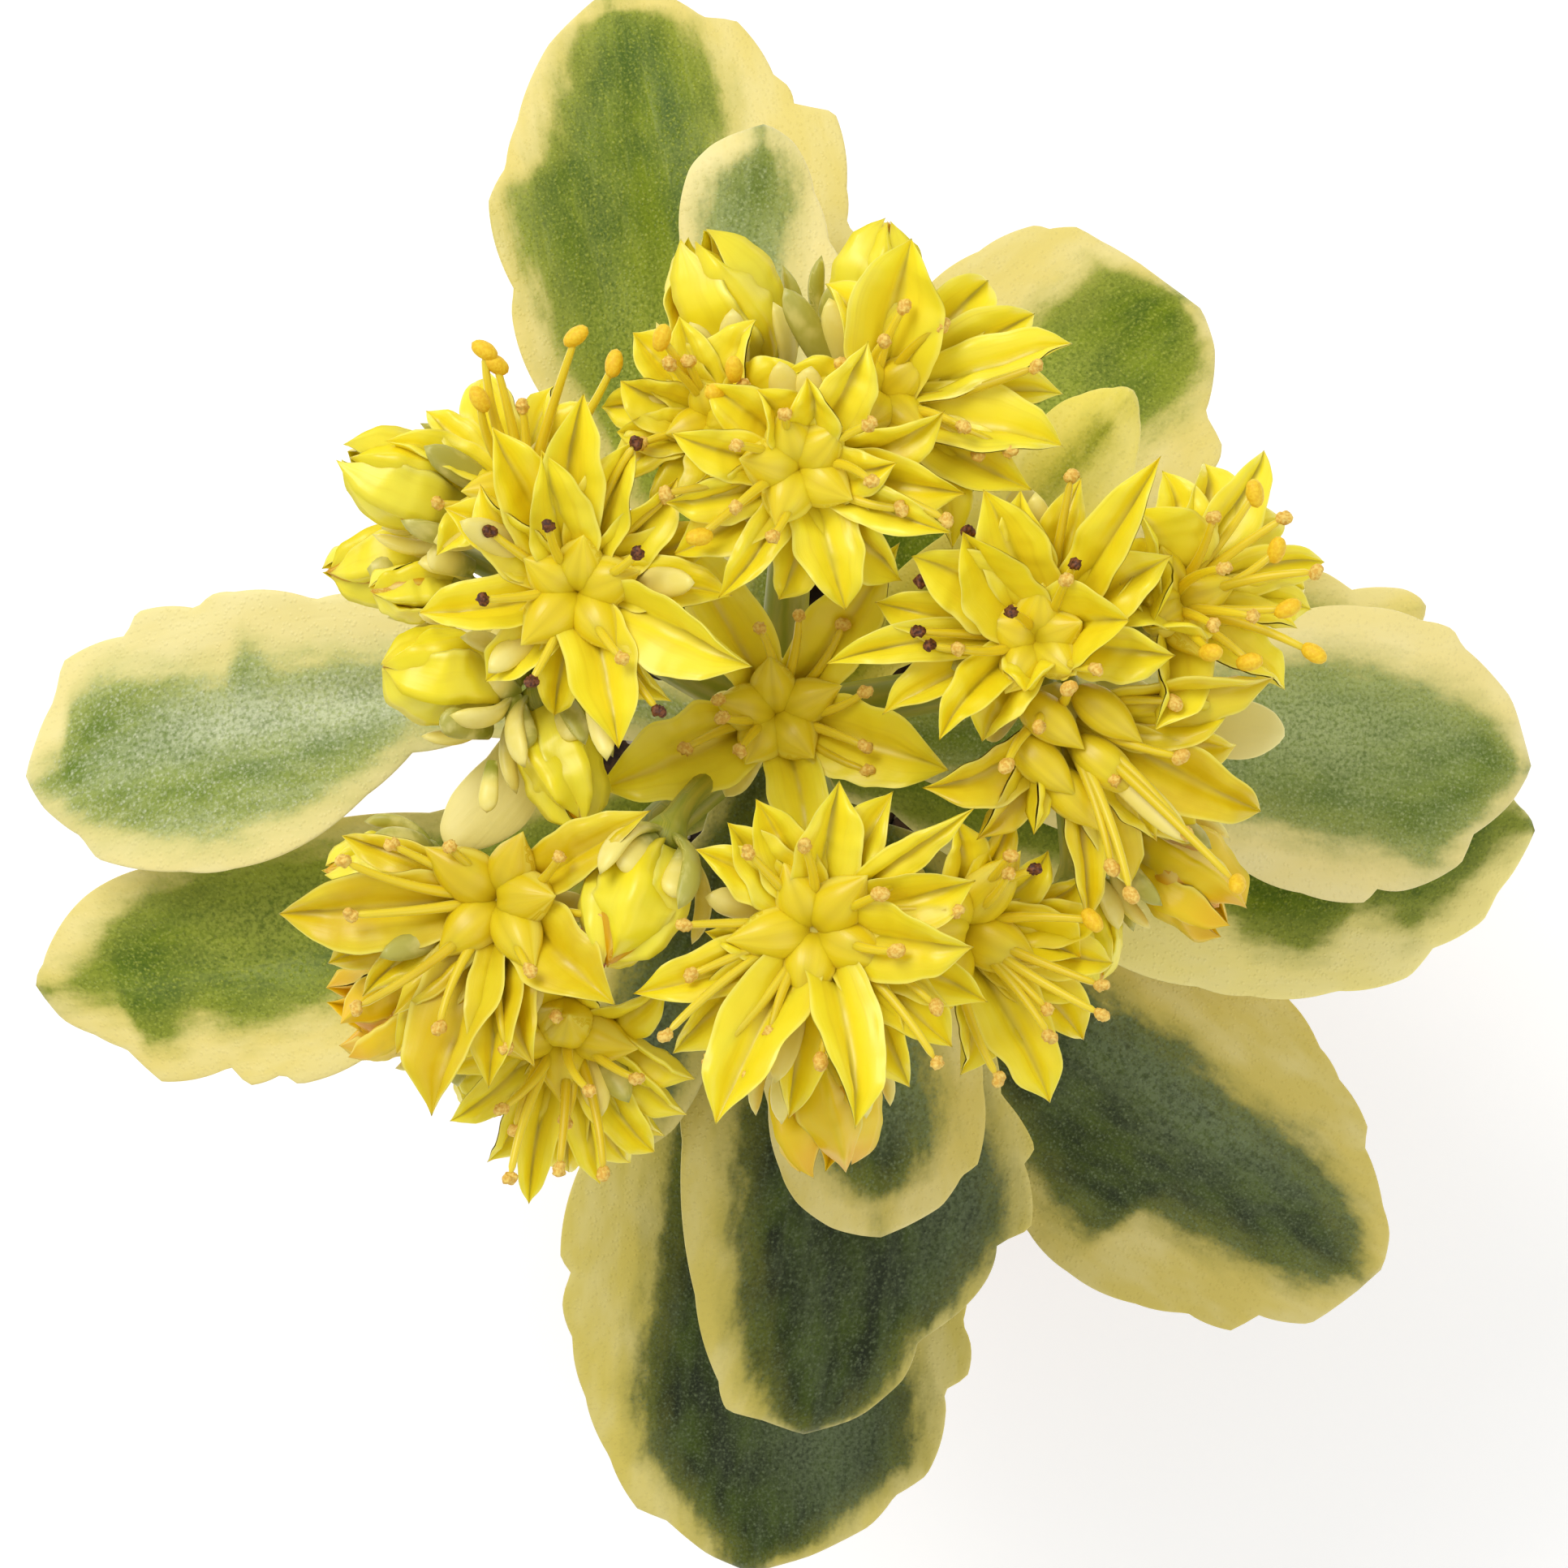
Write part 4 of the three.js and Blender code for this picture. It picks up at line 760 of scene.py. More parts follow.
bract_flesh, tree, shader = material("bract_flesh", Roughness=0.5)
mark = mesh_mark(tree, "mark")
along = node(tree, "SeparateXYZ", {0: mark}).outputs["X"]
streak = grain(tree, stretched(tree, mark, (0.3, 2.5, 1.0)), 1.4, 3.0)
green_foot = calc(tree, "MULTIPLY", between(tree, along, 1.0, 7.0, 0.8, 0.0), streak)
colour = blend(tree, green_foot, linear((240, 226, 140)), linear((150, 150, 60)))
dress(tree, shader, colour, streak, 0.3, 0.1)

for name, bract in BRACTS.items():
    bm = skin_mesh()
    blade(bm, bract, Vector(bract["start"]), BRACT_SKIN, [])
    finish_piece(bm, name, [bract_flesh])
print("bracts:", len(BRACTS))

# %% [markdown]
# The flower head. Each spray has a branch that ends at a node. Each of its flowers has the place of its
# core, the heading and the angle of its lean, its pods' length, rise and radius, and a tone between golden
# at -1 and lemon at 1, sometimes with one of its own for the pods. The tone is partly the flower's own and
# partly painted light and shade: it is raised on flowers that lie in shade and lowered on lit ones. A petal
# is [heading, length, half width, added rise]. Where the pods lie over to one side, each is [x, y, end x,
# end y, height]. The stamens and sepals that show are given by where their ends lie, seen from above, a
# sepal sometimes with its height, and the rest are drawn. The photo shows each flower from another side, so
# a table is better than one flower copied. All of it is in millimetres and degrees.

# %% Sprays
SPRAYS = {
    "centre": {"node": (-0.35, 3.15, 77), "flowers": [{
        "at": (-0.4, 3.2, 82), "leans": (0, 0), "pods": [4.2, 46, 1.1], "tone_and_painted_light": 0.8,
        "petals": [[203, 9.3, 1.9, 4], [342, 8.8, 1.8, 4], [280, 8.2, 1.3, 0], [121, 10.0, 1.5, 0],
            [54, 10.0, 1.5, 0]],
        "stamens": {
            "tan": [[-1.1, 7.1], [0.7, 7.7], [3.7, 4.2], [3.7, 1.7], [3.8, 0.6], [-4.5, 1.6], [-2.0, 1.5],
                [-2.8, 3.0], [2.7, 7.3]],
        },
        "sepals": [[-2.7, -0.6]],
    }]},
    "left": {"node": (-10, 8.4, 83), "flowers": [{
        "at": (-9.1, 8.8, 90.6), "leans": (240, 10), "pods": [4.2, 46, 1.15], "tone_and_painted_light": 0.1,
        "petals": [[335, 9.3, 1.6, 8], [284, 7.8, 1.5, 10], [190, 7.4, 1.2, 0], [118, 8.4, 1.45, 0],
            [88, 8.9, 1.4, -4], [47, 6.8, 1.2, -6], [309, 6.6, 0.8, -8], [22, 7.0, 1.2, -12],
            [68, 7.2, 1.3, -8], [150, 7.0, 1.2, -10], [225, 6.0, 1.2, -8], [258, 6.0, 1.0, -12],
            [104, 7.0, 1.4, 8], [134, 6.6, 1.3, 4], [356, 7.0, 1.2, -6]],
        "stamens": {
            "dark": [[-12.9, 11.1], [-10.3, 11.3], [-6.5, 15.0], [-6.4, 10.1], [-11.1, 4.5], [-13.2, 8.1],
                [-5.5, 3.2]],
            "tan": [[-5.2, 5.4], [-7.1, 5.5], [-5.2, 12.6]],
        },
        "sepals": [[-3.9, 8.8, 6.2], [-14.2, 11.5, 6.2], [-10.4, 14.1], [-13.1, 4.9], [-7.8, 1.0]],
    }, {
        "at": (-11.7, 13.0, 86.6), "leans": (122, 30), "pods": [3.6, 60, 0.9], "tone_and_painted_light": 1.0,
        "petals": [[139, 6.2, 0.9, 6], [160, 6.6, 0.8, 10], [76, 5.4, 0.9, 0], [214, 5.0, 1.0, 0],
            [350, 4.4, 1.0, 0], [110, 6.6, 1.2, -4], [50, 5.4, 1.2, -6]],
        "stamens": {
            "fresh": [[-9.3, 20.0], [-7.6, 18.8], [-12.9, 18.8], [-13.4, 19.4], [-13.6, 17.2]],
        },
        "sepals": [[-10.9, 15.6], [-15.8, 10.9], [-16.2, 15.2]],
    }]},
    "back": {"node": (0.6, 14.6, 84), "flowers": [{
        "at": (0.6, 14.1, 92.6), "leans": (270, 12), "pods": [4.2, 48, 1.1], "tone_and_painted_light": 0.3,
        "petals": [[288, 6.9, 1.4, 4], [239, 6.8, 0.9, 0], [336, 7.6, 0.9, 4], [196, 6.2, 1.1, 0],
            [168, 6.2, 1.1, 8], [84, 5.2, 1.2, 20], [60, 6.5, 1.3, -6], [20, 7.0, 1.2, -8],
            [140, 5.6, 1.2, -4], [262, 6.2, 1.2, -12], [312, 7.0, 1.3, -10], [216, 6.8, 1.3, -6],
            [350, 7.6, 1.3, -4], [0, 5.0, 1.2, 16], [120, 4.6, 1.2, 14]],
        "stamens": {
            "tan": [[-2.1, 12.0], [5.1, 12.0], [7.1, 11.5], [3.7, 15.6], [3.8, 13.1], [-5.2, 12.7]],
            "fresh": [[-3.7, 10.8]],
        },
        "sepals": [[-0.2, 18.6], [1.2, 18.4], [-1.5, 10.9]],
    }, {
        "at": (4.0, 16.9, 89.8), "leans": (45, 22), "pods": [4.0, 52, 1.0], "tone_and_painted_light": 1.0,
        "petals": [[78, 7.6, 2.0, 22], [17, 9.4, 1.1, 14], [348, 8.8, 1.5, 6], [4, 8.6, 1.2, 0],
            [160, 4.6, 1.1, 0], [110, 6.0, 1.2, 4], [200, 5.6, 1.4, -4], [250, 6.0, 1.4, -8],
            [300, 7.4, 1.5, -10], [48, 8.0, 1.4, -2], [60, 5.4, 1.5, 24], [330, 8.0, 1.4, -4],
            [30, 8.4, 1.3, 2]],
        "stamens": {
            "tan": [[5.3, 21.0], [4.4, 19.4], [2.5, 18.4], [11.1, 18.4], [8.6, 14.6], [10.0, 14.7],
                [7.0, 20.2], [7.9, 15.7]],
        },
        "sepals": [[7.8, 19.0], [0.0, 22.0], [2.0, 21.6]],
    }, {
        "at": (-2.8, 16.2, 89.2), "leans": (170, 20), "pods": [3.4, 60, 0.85], "tone_and_painted_light": 0.5,
        "petals": [[158, 4.9, 1.2, 16], [186, 4.6, 1.0, 8], [212, 5.6, 1.1, 4], [110, 5.0, 1.1, 6],
            [236, 5.4, 1.0, -4], [30, 5.0, 1.2, 0], [72, 5.2, 1.2, 8], [290, 5.0, 1.1, -6],
            [134, 5.6, 1.3, 0], [172, 5.6, 1.2, -6], [260, 5.4, 1.3, 0]],
        "stamens": {
            "fresh": [[-3.0, 17.2], [-5.4, 19.7], [-2.2, 18.2]],
        },
        "sepals": [[-6.6, 17.0], [-4.2, 20.6], [-2.3, 21.2], [-5.6, 14.2]],
    }]},
    "right": {"node": (12.6, 5.4, 83.4), "flowers": [{
        "at": (11.4, 6.5, 91), "leans": (200, 8), "pods": [4.0, 52, 1.1], "tone_and_painted_light": 0.2,
        "petals": [[128, 6.8, 1.6, 20], [149, 7.4, 1.6, 14], [187, 9.6, 0.9, -6], [225, 7.4, 1.0, 22],
            [57, 10.4, 1.1, 6], [10, 5.4, 1.9, 24], [250, 4.4, 1.2, 44], [168, 7.6, 1.2, -4],
            [98, 6.8, 1.3, 0], [76, 7.4, 1.1, -8], [206, 7.8, 1.1, -8], [112, 7.4, 1.5, 6],
            [32, 7.2, 1.4, 0], [240, 5.6, 1.3, 8], [352, 6.2, 1.3, -4]],
        "stamens": {
            "dark": [[8.1, 11.1], [6.0, 8.9], [5.9, 6.7], [6.4, 6.1], [9.9, 7.5], [12.7, 9.6]],
            "tan": [[12.6, 13.5], [12.3, 8.9], [13.6, 5.0], [7.6, 5.9]],
        },
        "sepals": [[11.1, 12.9], [7.4, 5.1], [9.6, 2.9], [14.6, 9.1], [13.4, 10.3]],
    }, {
        "at": (12.2, 3.3, 89.0), "leans": (318, 38), "pods": [4.2, 56, 0.96], "tone_and_painted_light": -0.7, "pod_tone_and_painted_light": 0.2,
        "laid_pods": [[10.2, 4.2, 13.5, 1.4, 1.9], [12.6, 4.5, 16.1, 1.7, 1.7],
            [12.6, 2.3, 16.3, -0.8, 1.1], [9.9, 2.4, 13.2, -0.7, 1.3], [11.2, 1.1, 14.5, -2.3, 0.5]],
        "petals": [[334, 10.6, 1.4, 14], [278, 9.8, 0.9, 4], [212, 7.2, 1.3, -8], [8, 10.0, 1.3, 18],
            [294, 9.2, 1.3, 4], [256, 5.6, 0.7, 14], [0, 8.0, 1.2, 22], [350, 9.2, 1.3, -4],
            [318, 9.8, 1.3, -2], [308, 7.6, 1.0, 8], [236, 6.8, 1.2, -6]],
        "stamens": {
            "pale": [[12.5, 4.2], [9.8, 0.8], [17.6, 1.2], [17.3, 3.6], [14.5, -3.7], [15.3, -4.9]],
            "tan": [[17.8, -2.2]],
            "fresh": [[19.9, -4.4]],
        },
        "sepals": [[18.0, -2.6]],
    }, {
        "at": (17.0, 7.9, 88.6), "leans": (20, 30), "pods": [4.0, 54, 1.0], "tone_and_painted_light": 1.0,
        "petals": [[56, 8.8, 1.15, 6], [16, 8.0, 1.0, 8], [0, 7.0, 1.1, 4], [350, 5.9, 0.8, 12],
            [228, 4.4, 1.9, 30], [108, 5.6, 1.9, 24], [36, 7.6, 1.2, -6], [325, 6.6, 1.3, -4],
            [90, 6.2, 1.4, 0], [196, 5.6, 1.5, 14], [150, 6.2, 1.5, 4], [262, 6.2, 1.4, -4],
            [72, 7.2, 1.4, -6], [8, 7.2, 1.3, -8]],
        "stamens": {
            "fresh": [[20.9, 12.9], [21.9, 10.4], [18.8, 5.8], [20.6, 5.4], [23.5, 5.8], [22.4, 7.8]],
            "tan": [[22.2, 11.8], [23.6, 9.4], [18.9, 7.0], [19.0, 11.8], [19.4, 9.5], [20.7, 7.4]],
        },
    }]},
    "front": {"node": (3.6, -5.6, 83.4), "flowers": [{
        "at": (1.4, -6.3, 91), "leans": (250, 8), "pods": [4.4, 36, 1.15], "tone_and_painted_light": 0.0,
        "petals": [[81, 7.0, 1.4, 0], [147, 6.6, 1.1, 0], [200, 8.7, 1.2, 0], [243, 10.2, 1.7, 12],
            [281, 9.6, 1.35, 14], [353, 8.0, 1.7, 14], [37, 9.6, 0.8, 4], [182, 5.0, 1.0, 0],
            [115, 6.4, 1.3, -8], [60, 7.0, 1.2, -10], [222, 8.6, 1.2, -8], [262, 8.8, 1.1, -8],
            [318, 8.2, 1.4, -6], [336, 8.4, 1.3, -8], [16, 7.6, 1.4, -4], [300, 8.4, 1.3, -8],
            [130, 6.2, 1.3, -6]],
        "stamens": {
            "tan": [[6.7, -12.2], [-3.3, -12.1], [-5.2, -11.0], [-1.5, -12.8], [-0.6, -10.9], [-1.6, -3.0],
                [0.9, -2.7], [-4.4, -6.2], [-4.1, -8.4], [7.6, -5.6]],
            "pale": [[4.2, -4.8], [1.6, -12.2], [4.9, -7.3], [6.7, -9.8]],
        },
        "sepals": [[4.1, -4.1], [-3.5, -5.0], [-0.4, -13.2], [3.8, -9.9], [0.7, -2.3]],
    }, {
        "at": (7.6, -6.3, 86.6), "leans": (330, 30), "pods": [5.2, 46, 1.15], "tone_and_painted_light": -0.1,
        "petals": [[298, 9.2, 1.5, 6], [60, 6.2, 0.8, 6], [2, 6.8, 1.1, 0], [36, 5.6, 1.0, 6],
            [332, 7.4, 1.1, 0], [318, 8.4, 1.3, -4], [346, 7.8, 1.2, 4], [18, 6.8, 1.1, -6],
            [274, 7.2, 1.3, -8], [306, 7.0, 1.4, 4], [88, 5.4, 1.2, 0], [345, 6.0, 1.3, 12]],
        "stamens": {
            "tan": [[11.8, -10.1], [11.9, -11.3], [9.6, -13.2], [14.2, -9.0], [14.2, -10.3], [10.1, -3.2],
                [10.0, -4.0]],
            "dark": [[11.2, -3.8]],
            "fresh": [[13.8, -6.1]],
        },
    }]},
    "front_left": {"node": (-11.2, -6.8, 82.4), "flowers": [{
        "at": (-12.4, -5.1, 89), "leans": (180, 20), "pods": [4.8, 42, 1.15], "tone_and_painted_light": -1.0,
        "pod_tone_and_painted_light": -0.5,
        "petals": [[184, 10.2, 1.7, 8], [160, 8.2, 0.9, 6], [31, 8.6, 1.2, -4], [317, 7.8, 1.6, 0],
            [251, 10.4, 1.8, 0], [214, 8.0, 0.8, 0], [226, 7.4, 0.8, 4], [200, 9.0, 1.3, -6],
            [234, 8.8, 1.2, -6], [280, 7.8, 1.3, -6], [266, 8.6, 1.2, -4]],
        "stamens": {
            "tan": [[-19.5, -3.4], [-17.4, -2.7], [-19.2, -5.8], [-11.2, -8.2], [-15.3, -10.8],
                [-12.3, -11.7], [-9.9, -3.2], [-8.1, -5.8], [-18.9, -9.9]],
        },
        "sepals": [[-11.3, -9.0], [-11.3, -10.5], [-18.0, -7.7], [-8.7, -5.7], [-12.0, -2.7]],
    }, {
        "at": (-9.9, -10.8, 85.6), "leans": (262, 34), "pods": [4.4, 52, 1.1], "tone_and_painted_light": 0.3,
        "petals": [[303, 7.4, 1.0, 4], [322, 7.0, 1.0, 0], [258, 8.6, 0.9, 8], [196, 6.6, 0.8, 12],
            [282, 7.6, 0.9, 8], [80, 5.4, 1.3, 0], [240, 7.6, 1.0, 4], [220, 7.0, 0.9, 6],
            [292, 8.0, 1.0, -4], [338, 6.4, 1.2, -2], [20, 5.6, 1.1, 0], [250, 6.4, 1.3, -8],
            [270, 7.8, 1.2, -6], [312, 7.0, 1.2, -8]],
        "stamens": {
            "tan": [[-12.3, -17.7], [-10.1, -17.3], [-8.1, -17.5], [-8.7, -13.7], [-6.6, -13.2],
                [-12.7, -14.6], [-12.1, -15.6]],
        },
        "sepals": [[-13.6, -12.6], [-7.0, -14.4], [-8.2, -15.0]],
    }]},
}
print("flowers in the table:", sum(len(spray["flowers"]) for spray in SPRAYS.values()))

# %% [markdown]
# A bud has the spray it grows on, a foot, a tip and a width, and how far its tips stand apart if it opens.
# Its fingers are the sepals that show, each from one end to the other as seen from above, sometimes with a
# scale.

# %% Buds table
BUDS = {
    "bud_1": {"spray": "left", "foot": (-14.6, 12.6, 84.6), "tip": (-20.2, 15.0, 87.0), "width": 4.2,
        "open": 0.3, "fingers": [[-14.2, 9.8, -16.2, 10.5]]},
    "bud_2": {"spray": "left", "foot": (-16.0, 10.6, 80.4), "tip": (-21.4, 9.8, 81.4), "width": 3.6,
        "fingers": [[-15.9, 9.6, -19.2, 9.9]]},
    "bud_3": {"spray": "left", "foot": (-15.2, 8.9, 84.0), "tip": (-19.0, 8.8, 85.2), "width": 2.4},
    "bud_4": {"spray": "left", "foot": (-13.2, 4.6, 86.4), "tip": (-18.2, 5.3, 88.6), "width": 4.4,
        "fingers": [[-12.1, 4.0, -13.6, 5.0], [-13.3, 2.4, -15.4, 2.9], [-11.1, 6.3, -13.4, 6.5]]},
    "bud_5": {"spray": "left", "foot": (-11.0, 3.2, 86.6), "tip": (-9.0, -2.0, 88.6), "width": 3.3,
        "fingers": [[-12.2, 3.9, -11.6, 1.5], [-10.4, 3.6, -9.1, 2.1], [-13.1, 1.0, -13.3, -1.3, 0.7]]},
    "bud_6": {"spray": "back", "foot": (-1.4, 18.8, 86.2), "tip": (-4.1, 24.8, 89.4), "width": 5.0,
        "open": 0.5},
    "bud_7": {"spray": "back", "foot": (3.4, 20.6, 84.6), "tip": (4.8, 25.6, 87.0), "width": 3.8},
    "bud_8": {"spray": "centre", "foot": (-5.6, -3.0, 90.4), "tip": (-7.9, -8.2, 92.6), "width": 4.8,
        "fingers": [[-5.8, -2.3, -7.2, -3.8], [-4.3, -2.9, -4.9, -5.0]]},
    "bud_9": {"spray": "front", "foot": (1.6, -12.2, 84.6), "tip": (2.0, -18.0, 84.2), "width": 4.9,
        "open": 1.1},
    "bud_10": {"spray": "right", "foot": (16.4, -2.6, 83.4), "tip": (20.8, -6.4, 84.4), "width": 4.2,
        "open": 0.9},
    "bud_11": {"spray": "right", "foot": (13.6, -5.0, 82.2), "tip": (14.6, -9.4, 82.8), "width": 2.8},
    "bud_12": {"spray": "front_left", "foot": (-16.0, -9.8, 84.6), "tip": (-20.6, -11.0, 85.6),
        "width": 4.0, "open": 1.6},
    "bud_13": {"spray": "front_left", "foot": (-13.9, -12.3, 80.6), "tip": (-13.6, -15.6, 80.8),
        "width": 2.8},
    "bud_14": {"spray": "front_left", "foot": (-16.8, -3.6, 83.6), "tip": (-21.2, -4.0, 84.4),
        "width": 2.8},
}
print("buds in the table:", len(BUDS))

# %% How a flower leans
PARTS = 5
TURN = 360 / PARTS


def facing(flower):
    """The axis that a flower faces along."""
    lean_to, lean = flower["leans"]
    return direction(lean_to, 90 - lean)


def leant(flower, heading, rise):
    """How high one of a flower's pieces stands once the flower has leant over."""
    lean_to, lean = flower["leans"]
    return rise - lean * math.cos(math.radians(heading - lean_to))


# %% [markdown]
# A petal is a slim boat: a blade folded along a fine midline groove, with a cushion on each side, thin
# edges that turn up, a keel below and a sharp tip. The solid's petal has four sides. Here the same arc
# carries a finer section, puckered by a little noise, and each petal gets a twist, a bend and a curl of its
# own. Buds are made of the same boats, wrapped round each other.

# %% Petals
PETAL = {
    "rise": 14, "arch": 0.15, "root": 0.75, "sunk": 0.5, "sides": 28, "rings": 34, "fold": 1.05,
    "cushion": 0.3, "groove": 0.16, "groove_half": 0.14, "keel": 0.5, "thin": 0.1, "pucker": 0.26,
    "fine_share": 0.4, "ragged": 0.2, "twist": 0.55, "bend": 0.8, "tint_spread": 0.5,
    "widths": [[0, 0.48], [0.15, 0.72], [0.32, 1.0], [0.47, 1.08], [0.62, 1.0], [0.77, 0.72], [0.88, 0.36],
               [0.95, 0.12], [1, 0]],
}


def boat(bm, points, raised, half, tone_and_painted_light, draw):
    """A keeled, folded blade along a curve."""
    twist = PETAL["twist"] * draw()
    fold = PETAL["fold"] * (1 + 0.4 * draw())
    place = Vector((40 * draw(), 40 * draw(), 0))

    def section(share, turn):
        angle = math.tau * turn
        across = math.cos(angle)
        width = read_off(PETAL["widths"], share)
        full = min(1.0, width * 1.5)
        side = abs(across)
        high = fold * half / 1.5 * side ** 1.25
        if math.sin(angle) >= 0:
            high += PETAL["cushion"] * math.sin(math.pi * side)
            high -= PETAL["groove"] * math.exp(-((side / PETAL["groove_half"]) ** 2))
        else:
            high -= PETAL["thin"] + PETAL["keel"] * (1 - side) ** 1.3
        high += PETAL["pucker"] * noise.noise(place + Vector((share * 4.5, across * 1.2, 0)))
        fine = noise.noise(place + Vector((share * 11, across * 3, 5)))
        high += PETAL["pucker"] * PETAL["fine_share"] * fine
        high *= full
        edge = 1 + PETAL["ragged"] * noise.noise(place + Vector((share * 6, 7 if across > 0 else 0, 3)))
        out = across * half * width * edge
        lean = twist * share
        return out * math.cos(lean) - high * math.sin(lean), out * math.sin(lean) + high * math.cos(lean)

    tone_and_painted_light += PETAL["tint_spread"] * draw()
    follow(bm, points, raised, section, PETAL["sides"], PETAL["rings"], 0, tone_and_painted_light)


def petal(bm, flower, heading, length, half, added, draw):
    """One petal along its arc, from under the core to its tip."""
    out = direction(heading, leant(flower, heading, PETAL["rise"]) + added)
    raised = facing(flower)
    at = Vector(flower["at"])
    aside = out.cross(raised).normalized()
    bend = PETAL["bend"] * draw()
    points = [
        at + out * PETAL["root"] - raised * PETAL["sunk"],
        at + out * length * 0.36 + raised * length * PETAL["arch"] * 0.7 + aside * bend,
        at + out * length * 0.7 + raised * length * PETAL["arch"] * (1 + 0.4 * draw()) + aside * bend * 0.8,
        at + out * length + raised * 0.6 * draw(),
    ]
    boat(bm, points, raised, half, flower["tone_and_painted_light"], draw)


# %% [markdown]
# In the middle stand five plump carpels, each a pod with a seam along its inner side and a short beak. A
# stretched sphere would be too round at both ends, so the pod's width is read off a short list.

# %% Carpels
CARPEL = {
    "root": 0.35, "bow": 0.5, "belly": 0.5, "dip": 0.3, "seam": 0.1, "seam_half": 0.04, "uneven": 0.08,
    "tint_spread": 0.4, "sides": 20, "rings": 26,
    "widths": [[0, 0], [0.05, 0.48], [0.16, 0.85], [0.32, 1.04], [0.5, 1.0], [0.66, 0.78], [0.8, 0.46],
               [0.92, 0.18], [1, 0]],
}


def carpel(bm, flower, i, draw):
    """One pod. It lies where the photo has it, or else stands between two petals."""
    length, rise, radius = flower["pods"]
    heading = flower["petals"][0][0] + (i + 0.5) * TURN
    out = direction(heading, leant(flower, heading, rise + 5 * draw()))
    raised = facing(flower)
    at = Vector(flower["at"])
    length *= 1 + CARPEL["uneven"] * draw()
    if "laid_pods" in flower:
        x, y, end_x, end_y, high = flower["laid_pods"][i]
        line = Vector((end_x - x, end_y - y, 0.6))
        at = Vector((x, y, at.z + high))
        out, length = line.normalized(), line.length
    radius *= 1 + CARPEL["uneven"] * draw()
    points = [
        at + out * CARPEL["root"],
        at + out * length * CARPEL["belly"] + raised * CARPEL["bow"],
        at + out * length - raised * CARPEL["dip"],
    ]

    def section(share, turn):
        angle = math.tau * turn
        wide = radius * read_off(CARPEL["widths"], share)
        seam = 1 - CARPEL["seam"] * math.exp(-(((turn - 0.25) / CARPEL["seam_half"]) ** 2))
        return math.cos(angle) * wide, math.sin(angle) * wide * seam

    tone_and_painted_light = flower.get("pod_tone_and_painted_light", flower["tone_and_painted_light"]) + CARPEL["tint_spread"] * draw()
    follow(bm, points, raised, section, CARPEL["sides"], CARPEL["rings"], 1, tone_and_painted_light)


# %% [markdown]
# Ten stamens stand round the carpels. Each is a tapering thread with an anther on its end: a plump golden
# oval while it is fresh, a smaller one that pales and crumples to tan as it opens, and a small brown knob
# when it has dried. The ones that show are put where the photo has them. The rest are drawn between them.

# %% Stamens
STAMEN = {
    "count": 10, "length": 6.0, "foot": 0.3, "top": 0.16, "root": 0.9, "climb": 0.45, "stand": 0.85,
    "sides": 8, "rings": 14, "inner_rise": 50, "inner_length": 4.6,
}
ANTHER_SIDES = 16
ANTHER_RINGS = 12
ANTHERS = {
    "fresh": {"length": 1.35, "width": 0.8, "crease": 0.2, "crumple": 0.03, "slot": 3},
    "pale": {"length": 0.95, "width": 0.66, "crease": 0.3, "crumple": 0.12, "slot": 4},
    "tan": {"length": 0.82, "width": 0.56, "crease": 0.45, "crumple": 0.3, "slot": 4},
    "dark": {"length": 0.76, "width": 0.52, "crease": 0.45, "crumple": 0.34, "slot": 5},
}


def anther(bm, tip, along, kind, draw):
    """A two-lobed anther: an oval with a crease down each side, crumpled by noise."""
    values = ANTHERS[kind]
    lean = direction(180 * draw(), 30 * draw())
    axis = (along + lean * 0.8).normalized()
    half = values["length"] / 2
    place = Vector((30 * draw(), 30 * draw(), 0))
    points = [tip - axis * half, tip, tip + axis * half]

    def section(share, turn):
        angle = math.tau * turn
        radius = values["width"] / 2 * math.sqrt(max(0.0, 1 - (2 * share - 1) ** 2))
        crease = 1 - values["crease"] * abs(math.cos(angle)) ** 6
        rough = 1 + 2 * values["crumple"] * noise.noise(
            place + Vector((2 * math.cos(angle), 2 * math.sin(angle), 4 * share))
        )
        return math.cos(angle) * radius * rough, math.sin(angle) * radius * crease * rough

    up = UP if abs(axis.z) < 0.9 else ASIDE
    follow(bm, points, up, section, ANTHER_SIDES, ANTHER_RINGS, values["slot"], draw())


def stamen(bm, flower, tip, kind, draw):
    """A thread that bows from the core to its anther."""
    at = Vector(flower["at"])
    line = tip - at
    out = line.normalized()
    aside = out.cross(UP).normalized()
    points = [
        at + out * STAMEN["root"],
        at + line * 0.5 + UP * line.length * 0.1 + aside * 0.9 * draw(),
        tip,
    ]

    def section(share, turn):
        radius = STAMEN["foot"] + (STAMEN["top"] - STAMEN["foot"]) * share
        radius *= round_end(share + 0.001, 0.05) * round_end(1.0001 - share, 0.03)
        return on_circle(turn, radius)

    follow(bm, points, UP, section, STAMEN["sides"], STAMEN["rings"], 2, draw())
    anther(bm, tip, out, kind, draw)


def lifted(flower, x, y):
    """The place of an anther seen at x, y: as high as its thread reaches, and clear of the petals."""
    at = Vector(flower["at"])
    reach = math.hypot(x - at.x, y - at.y)
    arc = math.sqrt(max(0.0, STAMEN["length"] ** 2 - reach ** 2))
    return Vector((x, y, at.z + max(arc * STAMEN["stand"], reach * STAMEN["climb"])))


